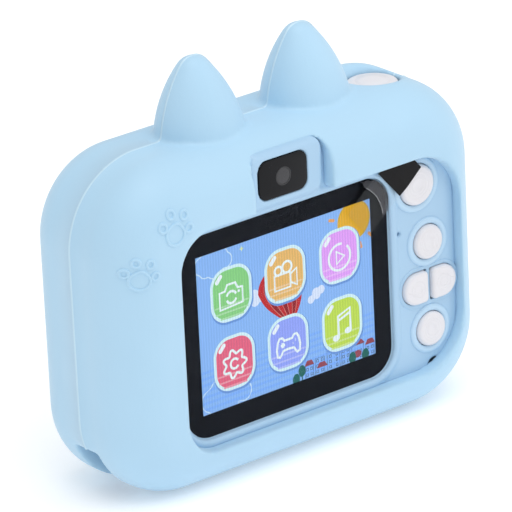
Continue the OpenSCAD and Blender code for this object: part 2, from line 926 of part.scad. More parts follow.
module shutter_switch() {
    color(STEEL)
        difference() {
            block(shutter_x - 2.2, shutter_x + 2.2, board_back_y, board_back_y + 2.8,
                shutter_switch_top - 4.4, shutter_switch_top);
            translate([shutter_x, shutter_stem_y, shutter_switch_top - 1.8])
                cylinder(r = 0.8 + plunger_gap, h = 5, $fn = round_fn);
        }
}

// ---- main board ----

module main_board() {
    color(BOARD_GREEN)
        difference() {
            slab(board_front_y, board_back_y)
                intersection() {
                    shell_outline(shell_wall + board_gap);
                    translate([board_left, board_bottom])
                        square([board_right - board_left, board_top - board_bottom]);
                }
            for (p = SCREWS)
                rod_y(p[0], p[1], board_notch_r, board_front_y - 1, board_back_y + 1);
            block(SCREWS[3][0] - board_notch_r, far, board_front_y - 1, board_back_y + 1, SCREWS[3][1], far);
            for (p = BOARD_SCREWS)
                rod_y(p[0], p[1], screw_r + screw_gap, board_front_y - 1, board_back_y + 1);
        }
}

module board_chips() {
    color(BLACK)
        union() {
            block(11, 20, board_back_y, board_back_y + 1.1, 24, 33);
            block(11, 17, board_back_y, board_back_y + 0.9, 36, 41);
            block(12, 15, board_back_y, board_back_y + 0.9, 17, 21);
            block(17, 19.5, board_back_y, board_back_y + 0.7, 18, 20);
            for (i = [0:4])
                block(-20 + 3 * i, -18.4 + 3 * i, board_back_y, board_back_y + 0.6, 46, 46.8);
        }
}

module board_connectors() {
    color("ivory")
        union() {
            block(-14, 6, board_front_y - 1.2, board_front_y, board_plug_z, board_plug_z + 3);
            block(rear_cam_x - 3, rear_cam_x + 3, board_front_y - 1.1, board_front_y,
                rear_cam_z - 5.7, rear_cam_z - 2.9);
            block(-4, 4, board_back_y, board_back_y + 1.2, camera_plug_z - 3, camera_plug_z);
            block(battery_plug_x, battery_plug_x + 6, board_back_y, board_back_y + 3.2,
                battery_plug_z, battery_plug_z + 4);
        }
}

module board_screws() {
    color(STEEL)
        for (p = BOARD_SCREWS) {
            rod_y(p[0], p[1], screw_r, board_front_y - board_screw_len + 0.2, board_back_y + 0.2);
            rod_y(p[0], p[1], board_screw_head_r, board_back_y, board_back_y + board_screw_head_t);
        }
}

module usb_socket() {
    x1 = shell_w / 2 - 0.6;
    color(STEEL)
        difference() {
            block(x1 - usb_l, x1, board_back_y, board_back_y + usb_t, usb_z - usb_w / 2, usb_z + usb_w / 2);
            block(x1 - usb_l + 0.6, x1 + 1, board_back_y + 0.3, board_back_y + usb_t - 0.3,
                usb_z - usb_w / 2 + 0.3, usb_z + usb_w / 2 - 0.3);
        }
}

module card_socket() {
    x1 = board_right;
    color(STEEL)
        difference() {
            block(x1 - card_socket_l, x1, board_back_y, board_back_y + card_socket_t,
                card_z - card_socket_w / 2, card_z + card_socket_w / 2);
            block(card_end_x - card_l - card_gap, x1 + 1, card_y - card_gap, card_y + card_t + card_gap,
                card_z - card_w / 2 - card_gap, card_z + card_w / 2 + card_gap);
        }
}

module memory_card() {
    color(BLACK)
        block(card_end_x - card_l, card_end_x, card_y, card_y + card_t,
            card_z - card_w / 2, card_z + card_w / 2);
}

// ---- power and sound ----

module battery() {
    color("silver")
        block(battery_x - battery_l / 2, battery_x + battery_l / 2, battery_y,
            battery_y + battery_t, battery_z - battery_w / 2, battery_z + battery_w / 2);
}

module battery_tape() {
    color("khaki")
        for (z = [-8, 8])
            block(battery_x - battery_l / 2 + 2, battery_x + battery_l / 2 - 2, board_back_y, battery_y,
                battery_z + z - 3, battery_z + z + 3);
}

module battery_leads() {
    battery_end = battery_x + battery_l / 2;
    color("firebrick")
        for (lead = [0, 1])
            translate([battery_end - 6 + 2 * lead, battery_y + battery_t / 2, battery_plug_z + 1 + 2 * lead]) {
                rotate([0, 90, 0])
                    cylinder(r = lead_r, h = battery_plug_x - battery_end + 6 - 2 * lead, $fn = hull_fn);
                sphere(r = lead_r, $fn = hull_fn);
                cylinder(r = lead_r, h = battery_z - battery_w / 2 - battery_plug_z - 1 - 2 * lead, $fn = hull_fn);
            }
}

module speaker() {
    color("dimgray")
        union() {
            rod_y(speaker_x, speaker_z, speaker_d / 2, speaker_y + 1.4, speaker_y + speaker_t);
            rod_y(speaker_x, speaker_z, speaker_d / 2 - 2.5, speaker_y, speaker_y + 1.5);
        }
}

module speaker_leads() {
    color("firebrick")
        for (z = [speaker_z - 1.2, speaker_z + 1.2])
            rod_y(speaker_lead_x, z, lead_r, board_back_y, speaker_y);
}

module microphone() {
    color(STEEL)
        rod_y(mic_x, mic_z, mic_r, board_front_y - mic_t, board_front_y);
}

// ---- lens turret ----

module lens_ring() {
    color(WHITE)
        slab(turret_face_y, turret_y)
            translate([0, lens_z])
                difference() {
                    circle(r = ring_outer_r, $fn = round_fn);
                    circle(r = ring_inner_r, $fn = round_fn);
                }
}

module front_lens_cover() {
    color(BLACK)
        rod_y(0, lens_z, cover_d / 2, cover_y, cover_y + cover_t);
}

module front_lens_barrel() {
    color(BLACK)
        difference() {
            rod_y(0, lens_z, barrel_d / 2, camera_board_y + camera_board_t, barrel_front_y);
            rod_y(0, lens_z, lens_element_r + 0.05, barrel_front_y - 2.5, turret_y);
        }
}

module front_lens_element() {
    color("slategray")
        intersection() {
            rod_y(0, lens_z, lens_element_r, barrel_front_y - 2.4, barrel_front_y);
            translate([0, barrel_front_y - 8.2, lens_z])
                sphere(r = 8, $fn = round_fn);
        }
}

module camera_board() {
    color(BOARD_GREEN)
        difference() {
            block(-camera_board_w / 2, camera_board_w / 2, camera_board_y, camera_board_y + camera_board_t,
                lens_z - camera_board_h / 2, lens_z + camera_board_h / 2);
            for (p = CAMERA_POSTS)
                rod_y(p[0], p[1], screw_r + screw_gap, camera_board_y - 1, camera_board_y + 3);
        }
}

module camera_screws() {
    color(STEEL)
        for (p = CAMERA_POSTS) {
            rod_y(p[0], p[1], screw_r, camera_board_y - 0.2,
                camera_board_y + camera_board_t + board_screw_len - 0.2);
            rod_y(p[0], p[1], board_screw_head_r, camera_board_y - board_screw_head_t, camera_board_y);
        }
}

// Ribbon from the camera board to the main board
module camera_flex() {
    color("darkorange")
        union() {
            block(-4, 4, camera_board_y - 0.2, camera_board_y, lens_z - 3, camera_plug_z + 0.2);
            block(-4, 4, board_back_y + 0.4, camera_board_y, camera_plug_z, camera_plug_z + 0.2);
        }
}

module flash_lamp() {
    color("lightyellow")
        union() {
            rod_y(flash_x, lens_z, flash_r, turret_in_y - 0.5, cover_y - 0.1);
            block(flash_x - 2, flash_x + 2, turret_in_y - 1, turret_in_y - 0.1, lens_z - 2.2, lens_z + 2.2);
        }
}

// ---- fasteners ----

module case_screws() {
    color(STEEL)
        for (p = SCREWS) {
            rod_y(p[0], p[1], screw_r, screw_seat_y - 0.2, screw_tip_y);
            difference() {
                rod_y(p[0], p[1], screw_head_r, screw_seat_y - screw_head_t, screw_seat_y);
                for (turn = [0, 90])
                    translate([p[0], screw_seat_y - screw_head_t, p[1]])
                        rotate([0, turn, 0])
                            cube([2.2, 1.2, 0.5], center = true);
            }
        }
}

// ---- film on the window ----

module protective_film() {
    color("white", 0.3)
        slab(window_y - film_t, window_y)
            translate([window_x, window_z])
                round_rect(window_w - 2 * film_inset, window_h - 2 * film_inset, window_r - film_inset);
}

module film_pull_tab() {
    low = window_y - film_t;
    high = tab_lift_y;
    color(BLACK)
        intersection() {
            translate([tab_x, 0, tab_z])
                rotate([0, -tab_angle, 0])
                    translate([0, 0, -tab_w / 2])
                        linear_extrude(height = tab_w)
                            polygon([
                                [-tab_clear_l, low], [-tab_clear_l / 2, low], [2.2, high], [tab_dark_l, high],
                                [tab_dark_l, high - tab_t], [2.2, high - tab_t],
                                [-tab_clear_l / 2, low - tab_t], [-tab_clear_l, low - tab_t]]);
            block(-far, far, -far, far, 0, opening_top - 0.3);
        }
}

silicone_sleeve();
rear_shell();
front_shell();
screen_window();
window_border();
window_tape();
display_panel();
display_backlight();
display_flex();
rear_lens_window();
rear_camera_module();
rear_camera_lens();
rear_camera_flex();
power_button();
up_button();
left_button();
right_button();
down_button();
shutter_button();
power_plunger();
up_plunger();
left_plunger();
right_plunger();
down_plunger();
shutter_plunger();
key_switches();
shutter_switch();
main_board();
board_chips();
board_connectors();
battery();
battery_tape();
battery_leads();
speaker();
speaker_leads();
microphone();
usb_socket();
card_socket();
memory_card();
lens_ring();
front_lens_cover();
front_lens_barrel();
front_lens_element();
camera_board();
camera_flex();
flash_lamp();
case_screws();
board_screws();
camera_screws();
lanyard_bar();
protective_film();
film_pull_tab();
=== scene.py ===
import json
import math

import bmesh
import bpy
from mathutils import Matrix, Vector
from mathutils.bvhtree import BVHTree


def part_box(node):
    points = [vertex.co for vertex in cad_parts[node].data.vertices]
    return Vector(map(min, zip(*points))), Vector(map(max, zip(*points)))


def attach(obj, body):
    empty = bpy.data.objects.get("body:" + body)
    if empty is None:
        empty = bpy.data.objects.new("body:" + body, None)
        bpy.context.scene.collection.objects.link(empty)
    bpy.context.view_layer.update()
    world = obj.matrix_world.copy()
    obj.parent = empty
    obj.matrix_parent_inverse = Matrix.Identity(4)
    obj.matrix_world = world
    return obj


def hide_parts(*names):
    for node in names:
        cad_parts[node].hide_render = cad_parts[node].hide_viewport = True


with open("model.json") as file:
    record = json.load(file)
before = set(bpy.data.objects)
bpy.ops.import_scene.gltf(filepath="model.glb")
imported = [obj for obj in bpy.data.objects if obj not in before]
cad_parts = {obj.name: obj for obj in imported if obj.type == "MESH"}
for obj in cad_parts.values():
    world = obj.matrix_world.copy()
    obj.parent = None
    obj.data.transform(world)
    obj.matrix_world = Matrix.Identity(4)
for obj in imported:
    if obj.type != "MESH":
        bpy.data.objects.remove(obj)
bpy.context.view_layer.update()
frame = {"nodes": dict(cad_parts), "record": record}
scene = bpy.context.scene
scene.view_settings.view_transform = "Standard"

# Shapes are worked out in millimetres and finished in metres
mm = 0.001
tiny = 0.001
depthAxis = Vector((0, 1, 0))
upAxis = Vector((0, 0, 1))


def boxOf(node):
    low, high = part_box(node)
    return low / mm, high / mm


def middleOf(node):
    low, high = boxOf(node)
    return (low + high) / 2


def arcPoints(centreX, centreZ, radius, start, end, steps=8):
    turns = [math.radians(start + (end - start) * i / steps) for i in range(steps + 1)]
    return [(centreX + radius * math.cos(t), centreZ + radius * math.sin(t)) for t in turns]


def addBlock(bm, low, high):
    low, high = Vector(low), Vector(high)
    place = Matrix.Translation((low + high) / 2) @ Matrix.Diagonal((*(high - low), 1))
    return bmesh.ops.create_cube(bm, size=1, matrix=place)["verts"]


def roundEdges(bm, edges, radius, segments):
    bmesh.ops.bevel(bm, geom=edges, offset=radius, segments=segments, affect="EDGES",
                    profile=0.5, material=-1, clamp_overlap=False)


def runsAlong(edge, axis):
    side = edge.verts[0].co - edge.verts[1].co
    return side.length > 0 and abs(side.normalized().dot(axis)) > 0.999


def liesAt(edge, axis, height):
    return all(abs(v.co.dot(axis) - height) < tiny for v in edge.verts)


# A box whose four long corners run along Y, with its own rounding at each end
def addSoftBox(bm, low, high, corner, frontRadius, backRadius, segments=18):
    addBlock(bm, low, high)
    roundEdges(bm, [e for e in bm.edges if runsAlong(e, depthAxis)], corner, segments)
    for height, radius in ((low[1], frontRadius), (high[1], backRadius)):
        if radius:
            roundEdges(bm, [e for e in bm.edges if liesAt(e, depthAxis, height)], radius, segments)


# A plate with round corners, from y0 to y1
def addRoundPlate(bm, left, right, bottom, top, corner, y0, y1, segments=10):
    verts = addBlock(bm, (left, y0, bottom), (right, y1, top))
    edges = {e for v in verts for e in v.link_edges if runsAlong(e, depthAxis)}
    roundEdges(bm, list(edges), corner, segments)


# A turned shape from its (radius, height) outline along an axis
def addTurned(bm, outline, centre, axis=depthAxis, steps=64, closed=False):
    centre = Vector(centre)
    verts = [bm.verts.new(centre + Vector((r, 0, 0)) + axis * h) for r, h in outline]
    pairs = list(zip(verts, verts[1:])) + ([(verts[-1], verts[0])] if closed else [])
    edges = [bm.edges.new(pair) for pair in pairs]
    bmesh.ops.spin(bm, geom=verts + edges, cent=centre, axis=axis, dvec=(0, 0, 0),
                   angle=math.tau, steps=steps, use_merge=True, use_duplicate=False)


def addRod(bm, x, z, radius, y0, y1, steps=40):
    addTurned(bm, [(0, y0), (radius, y0), (radius, y1), (0, y1)], (x, 0, z), steps=steps)


def tidyFaces(bm):
    bmesh.ops.remove_doubles(bm, verts=bm.verts, dist=tiny / 2)
    bmesh.ops.recalc_face_normals(bm, faces=bm.faces)


def joinShape(bm, part):
    mesh = bpy.data.meshes.new("part")
    part.to_mesh(mesh)
    part.free()
    bm.from_mesh(mesh)


# Gives flat faces a thickness
def pushFaces(bm, depth):
    pushed = bmesh.ops.extrude_face_region(bm, geom=bm.faces[:])["geom"]
    bmesh.ops.translate(bm, vec=(0, depth, 0), verts=[v for v in pushed if isinstance(v, bmesh.types.BMVert)])


# Takes away what lies behind a plane and closes the cut
def cutAway(bm, point, direction):
    cut = bmesh.ops.bisect_plane(bm, geom=bm.verts[:] + bm.edges[:] + bm.faces[:], dist=tiny,
                                 plane_co=point, plane_no=direction, clear_inner=True)
    bmesh.ops.holes_fill(bm, edges=[e for e in cut["geom_cut"] if isinstance(e, bmesh.types.BMEdge)])


def objectFrom(bm, name):
    tidyFaces(bm)
    mesh = bpy.data.meshes.new(name)
    bm.to_mesh(mesh)
    bm.free()
    obj = bpy.data.objects.new(name, mesh)
    scene.collection.objects.link(obj)
    return obj


def applyModifiers(obj):
    depsgraph = bpy.context.evaluated_depsgraph_get()
    mesh = bpy.data.meshes.new_from_object(obj.evaluated_get(depsgraph))
    obj.modifiers.clear()
    obj.data = mesh


def combine(obj, bm, operation):
    tool = objectFrom(bm, "tool")
    step = obj.modifiers.new("combine", "BOOLEAN")
    step.operation = operation
    step.solver = "MANIFOLD"
    step.object = tool
    applyModifiers(obj)
    bpy.data.objects.remove(tool)


# Cuts a shape out of a piece: the shape is made by one of the add functions
def cutOut(obj, addShape, *values, **named):
    bm = bmesh.new()
    addShape(bm, *values, **named)
    combine(obj, bm, "DIFFERENCE")


# Even quads over the whole form, then relaxed, so that every lip and corner comes out soft
def softenForm(obj, voxel, relax, keep):
    remesh = obj.modifiers.new("remesh", "REMESH")
    remesh.mode = "VOXEL"
    remesh.voxel_size = voxel
    smooth = obj.modifiers.new("relax", "SMOOTH")
    smooth.factor = 0.5
    smooth.iterations = relax
    thin = obj.modifiers.new("thin", "DECIMATE")
    thin.ratio = keep
    applyModifiers(obj)


def copyOfNode(node):
    bm = bmesh.new()
    bm.from_mesh(frame["nodes"][node].data)
    bmesh.ops.scale(bm, vec=(1 / mm,) * 3, verts=bm.verts)
    bmesh.ops.remove_doubles(bm, verts=bm.verts, dist=tiny)
    return bm


# The same with its flat sides each made one face
def plainCopy(node):
    bm = copyOfNode(node)
    bmesh.ops.dissolve_limit(bm, angle_limit=math.radians(1), verts=bm.verts, edges=bm.edges)
    return bm


# Hands a piece over: its slot, its finish if not the slot's own, its body and the nodes it stands for
def finishPiece(obj, slot, finish=None, body="camera_body", replaced=(), sharpAngle=40):
    mesh = obj.data
    mesh.transform(Matrix.Scale(mm, 4))
    mesh.materials.clear()
    mesh.materials.append(finishes[finish or slot])
    mesh.shade_smooth()
    if sharpAngle:
        mesh.set_sharp_from_angle(angle=math.radians(sharpAngle))
    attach(obj, body)
    if replaced:
        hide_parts(*replaced)
    return obj


# Levels out of 255 as a linear colour
def linear(red, green, blue):
    levels = [c / 255 for c in (red, green, blue)]
    return tuple(c / 12.92 if c < 0.04045 else ((c + 0.055) / 1.055) ** 2.4 for c in levels) + (1,)


def newFinish(name, values):
    material = bpy.data.materials.new(name)
    material.use_nodes = True
    tree = material.node_tree
    shader = tree.nodes["Principled BSDF"]
    for socket, value in values.items():
        shader.inputs[socket].default_value = value
    return material, tree, shader


def addNode(tree, kind, **values):
    node = tree.nodes.new("ShaderNode" + kind)
    for socket, value in values.items():
        node.inputs[socket.replace("_", " ")].default_value = value
    return node


def noiseIn(tree, scale, detail=3.0, stretch=(1, 1, 1)):
    place = addNode(tree, "TexCoord")
    mapping = addNode(tree, "Mapping", Scale=stretch)
    noise = addNode(tree, "TexNoise", Scale=scale, Detail=detail)
    tree.links.new(place.outputs["Object"], mapping.inputs["Vector"])
    tree.links.new(mapping.outputs["Vector"], noise.inputs["Vector"])
    return noise.outputs["Fac"]


def wavesIn(tree, direction, scale, distortion=0.0):
    place = addNode(tree, "TexCoord")
    wave = addNode(tree, "TexWave", Scale=scale, Distortion=distortion)
    wave.bands_direction = direction
    tree.links.new(place.outputs["Object"], wave.inputs["Vector"])
    return wave.outputs["Fac"]


def shadeBetween(tree, factor, socket, low, high, start=0.35, end=0.65):
    ramp = addNode(tree, "ValToRGB")
    ramp.color_ramp.elements[0].position = start
    ramp.color_ramp.elements[0].color = low
    ramp.color_ramp.elements[1].position = end
    ramp.color_ramp.elements[1].color = high
    tree.links.new(factor, ramp.inputs["Fac"])
    tree.links.new(ramp.outputs["Color"], socket)


def rangeBetween(tree, factor, socket, low, high):
    spread = addNode(tree, "MapRange", From_Min=0.3, From_Max=0.7, To_Min=low, To_Max=high)
    tree.links.new(factor, spread.inputs["Value"])
    tree.links.new(spread.outputs["Result"], socket)


def raiseSurface(tree, factor, shader, height):
    bump = addNode(tree, "Bump", Strength=1.0, Distance=height)
    tree.links.new(factor, bump.inputs["Height"])
    tree.links.new(bump.outputs["Normal"], shader.inputs["Normal"])


# Moulded plastic or rubber: a fine grain, a slow drift of colour and uneven gloss
def mouldedFinish(name, colour, roughness, grain=4200, height=0.000012, drift=0.04, **values):
    values = {"Roughness": roughness, **{k.replace("_", " "): v for k, v in values.items()}}
    material, tree, shader = newFinish(name, values)
    low = tuple(c * (1 - drift) for c in colour[:3]) + (1,)
    high = tuple(min(1, c * (1 + drift)) for c in colour[:3]) + (1,)
    shadeBetween(tree, noiseIn(tree, 38, 2.0), shader.inputs["Base Color"], low, high)
    rangeBetween(tree, noiseIn(tree, 190, 3.0), shader.inputs["Roughness"],
                 roughness - 0.04, roughness + 0.05)
    raiseSurface(tree, noiseIn(tree, grain, 2.0), shader, height)
    return material


# Metal with fine lines drawn along one direction
def drawnFinish(name, colour, roughness, stretch=(40, 1, 1), metallic=1.0):
    material, tree, shader = newFinish(name, {"Metallic": metallic, "Roughness": roughness})
    low = tuple(c * 0.86 for c in colour[:3]) + (1,)
    shadeBetween(tree, noiseIn(tree, 160, 4.0, stretch), shader.inputs["Base Color"], low, colour)
    rangeBetween(tree, noiseIn(tree, 420, 3.0, stretch), shader.inputs["Roughness"],
                 roughness - 0.08, roughness + 0.1)
    raiseSurface(tree, noiseIn(tree, 700, 3.0, stretch), shader, 0.00001)
    return material


# Clear plastic as a faint veil over what lies behind it
def veilFinish(name, colour, alpha, roughness):
    material, tree, shader = newFinish(name, {"Base Color": colour, "Alpha": alpha,
                                              "Specular IOR Level": 0.3})
    rangeBetween(tree, noiseIn(tree, 160, 4.0), shader.inputs["Roughness"], roughness, roughness + 0.15)
    raiseSurface(tree, noiseIn(tree, 60, 2.0), shader, 0.00002)
    return material


# The lit display: its own colours, crossed by its fine upright lines
def litFinish(name):
    material, tree, shader = newFinish(name, {"Roughness": 0.35, "Emission Strength": 0.85,
                                              "Specular IOR Level": 0.12})
    colours = addNode(tree, "Attribute")
    colours.attribute_name = "litColour"
    mix = addNode(tree, "Mix")
    mix.data_type = "RGBA"
    mix.blend_type = "MULTIPLY"
    lines = addNode(tree, "ValToRGB")
    lines.color_ramp.elements[0].color = (0.82, 0.86, 0.9, 1)
    lines.color_ramp.elements[1].color = (1, 1, 1, 1)
    tree.links.new(wavesIn(tree, "X", 500, 0.5), lines.inputs["Fac"])
    mix.inputs["Factor"].default_value = 1.0
    tree.links.new(colours.outputs["Color"], mix.inputs["A"])
    tree.links.new(lines.outputs["Color"], mix.inputs["B"])
    tree.links.new(mix.outputs["Result"], shader.inputs["Emission Color"])
    dim = addNode(tree, "Mix")
    dim.data_type = "RGBA"
    dim.inputs["Factor"].default_value = 0.75
    dim.inputs["B"].default_value = (0.02, 0.025, 0.03, 1)
    tree.links.new(mix.outputs["Result"], dim.inputs["A"])
    tree.links.new(dim.outputs["Result"], shader.inputs["Base Color"])
    return material


# Printed circuit board: solder mask with copper tracks just under it
def boardFinish(name):
    material, tree, shader = newFinish(name, {"Roughness": 0.32, "Coat Weight": 0.4})
    place = addNode(tree, "TexCoord")
    mapping = addNode(tree, "Mapping", Rotation=(math.radians(90), 0, 0))
    brick = addNode(tree, "TexBrick", Scale=260, Mortar_Size=0.03, Color1=linear(22, 92, 62),
                    Color2=linear(18, 80, 54), Mortar=linear(70, 140, 80))
    tree.links.new(place.outputs["Object"], mapping.inputs["Vector"])
    tree.links.new(mapping.outputs["Vector"], brick.inputs["Vector"])
    tree.links.new(brick.outputs["Color"], shader.inputs["Base Color"])
    raiseSurface(tree, brick.outputs["Fac"], shader, 0.00002)
    return material


finishes = {
    "soft_silicone": mouldedFinish("lightBlueSilicone", linear(177, 214, 238), 0.52, grain=2600,
                                   height=0.00001, drift=0.015, Sheen_Weight=0.25, Sheen_Roughness=0.5),
    "shell_plastic": mouldedFinish("paleBlueShell", linear(170, 204, 231), 0.4, grain=3400,
                                   height=0.000008, drift=0.02),
    "button_plastic": mouldedFinish("whiteKeyPlastic", linear(229, 227, 231), 0.34, drift=0.02,
                                    height=0.000008),
    "clear_acrylic": veilFinish("clearAcrylic", linear(30, 33, 42), 0.03, 0.04),
    "border_ink": mouldedFinish("blackInk", linear(24, 27, 34), 0.45, grain=300, height=0.000001,
                                Specular_IOR_Level=0.06),
    "tape": mouldedFinish("greyTape", linear(70, 70, 74), 0.7, grain=1500, height=0.00003),
    "display_glass": litFinish("litDisplay"),
    "white_frame": mouldedFinish("whiteFrame", linear(232, 232, 228), 0.5),
    "flex_film": drawnFinish("amberFlex", linear(196, 120, 40), 0.35, (1, 1, 30), metallic=0.3),
    "lens_glass": mouldedFinish("darkLensGlass", linear(16, 17, 21), 0.12, grain=300, height=0.0000005,
                                Specular_IOR_Level=0.12, Coat_Weight=0.12, Coat_Roughness=0.04),
    "lens_element": mouldedFinish("coatedLens", linear(34, 36, 46), 0.1, height=0.000001,
                                  Coat_Weight=1.0, Coat_Roughness=0.02),
    "black_plastic": mouldedFinish("blackPlastic", linear(32, 32, 36), 0.42),
    "plunger_plastic": mouldedFinish("plungerPlastic", linear(46, 46, 48), 0.5),
    "switch_metal": drawnFinish("platedSteel", linear(205, 206, 210), 0.3),
    "board": boardFinish("greenBoard"),
    "chip_black": mouldedFinish("chipResin", linear(36, 36, 40), 0.62, grain=2600, height=0.00002),
    "ivory_plastic": mouldedFinish("ivoryPlastic", linear(222, 212, 186), 0.45),
    "battery_foil": drawnFinish("foilPouch", linear(206, 206, 210), 0.36, (1, 1, 6)),
    "lead_wire": mouldedFinish("leadSleeve", linear(178, 26, 28), 0.38),
    "speaker_black": mouldedFinish("speakerCone", linear(34, 34, 38), 0.7, grain=1200, height=0.00004),
    "card_black": mouldedFinish("cardPlastic", linear(30, 31, 36), 0.5, grain=3000, height=0.00001),
    "lamp_resin": mouldedFinish("lampResin", linear(240, 232, 170), 0.16, height=0.000002,
                                Coat_Weight=0.8),
    "screw_steel": drawnFinish("screwSteel", linear(150, 150, 156), 0.34, (8, 8, 8)),
    "clear_film": veilFinish("clearFilm", linear(44, 47, 54), 0.008, 0.2),
    "tab_film": mouldedFinish("blackTab", linear(20, 19, 21), 0.5, grain=900, height=0.00001,
                              Specular_IOR_Level=0.15),
}
for part in frame["record"]["subparts"]:
    node = frame["nodes"][part["node"]]
    node.data.materials.clear()
    node.data.materials.append(finishes[part["material_slot"]])
print("finishes ready")


# Silicone sleeve: places taken from the frame, then its own sizes
shellLow, shellHigh = boxOf("front_shell")
sleeveLow, sleeveHigh = boxOf("silicone_sleeve")
panelY = boxOf("rear_shell")[0].y + 1.4
frontY = sleeveLow.y
backY = boxOf("lens_ring")[1].y - 3
sleeveTop = shellHigh.z + shellLow.z
rimLow, rimHigh = boxOf("screen_window")
keyHigh = boxOf("right_button")[1]
lensCentre = middleOf("lens_ring")
shutterTop = Vector((boxOf("shutter_button")[0].x + 5.2, -1, shellHigh.z))  # middle of its stem

sleeve = {
    "wall": 2.8, "corner": 16.0, "screenEdge": 9.8, "lensEdge": 7.8, "cavityEdge": 4.7, "overlap": 0.25,
    "openingLeft": 7.0, "openingRight": 11.0, "rim": 1.4, "gap": 0.12,
    "notchCorner": 3.4, "notchTop": 61.25, "notchLeft": 7.4, "notchRight": 10.4,
    "lipWidth": 0.8, "lipDepth": 1.8, "lipSteps": 6, "lipReach": 1.2,
    "turretHole": 15.8, "shutterHole": 5.2, "grilleHole": 0.9, "grillePitch": 3.2,
    "strapSlot": 6.6, "strapAngle": 46, "strapInner": 12.2, "strapOuter": 19,
    "portWidth": 7.0, "portHeight": 30.0, "portMiddle": 28.6,
    "seamY": -1.0, "seamHalf": 0.24, "seamHeight": 0.2, "voxel": 0.42, "relax": 3, "keep": 0.3,
}
ears = {"width": 17.9, "depth": 15.0, "height": 14.3, "sideRadius": 28.0, "tipRadius": 3.9,
        "places": (-12.3, 12.4), "lean": -0.9, "root": 2.0}


# Half of an ear's outline, from the root up: a bowed side that runs into a round tip
def earOutline():
    half = ears["width"] / 2
    tipZ = ears["height"] - ears["tipRadius"]
    span = math.hypot(half, tipZ)
    inner = ears["sideRadius"] - ears["tipRadius"]
    along = (inner ** 2 - ears["sideRadius"] ** 2 + span ** 2) / (2 * span)
    across = math.sqrt(inner ** 2 - along ** 2)
    centreX = (half * along - tipZ * across) / span
    centreZ = tipZ - (tipZ * along + half * across) / span
    baseAngle = math.degrees(math.atan2(-centreZ, half - centreX))
    tipAngle = math.degrees(math.atan2(tipZ - centreZ, -centreX))
    side = arcPoints(centreX, centreZ, ears["sideRadius"], baseAngle, tipAngle, 14)
    tip = arcPoints(0, tipZ, ears["tipRadius"], tipAngle, 90, 8)
    return [(0, -ears["root"]), (half, -ears["root"])] + side + tip[1:-1] + [(0, ears["height"])]


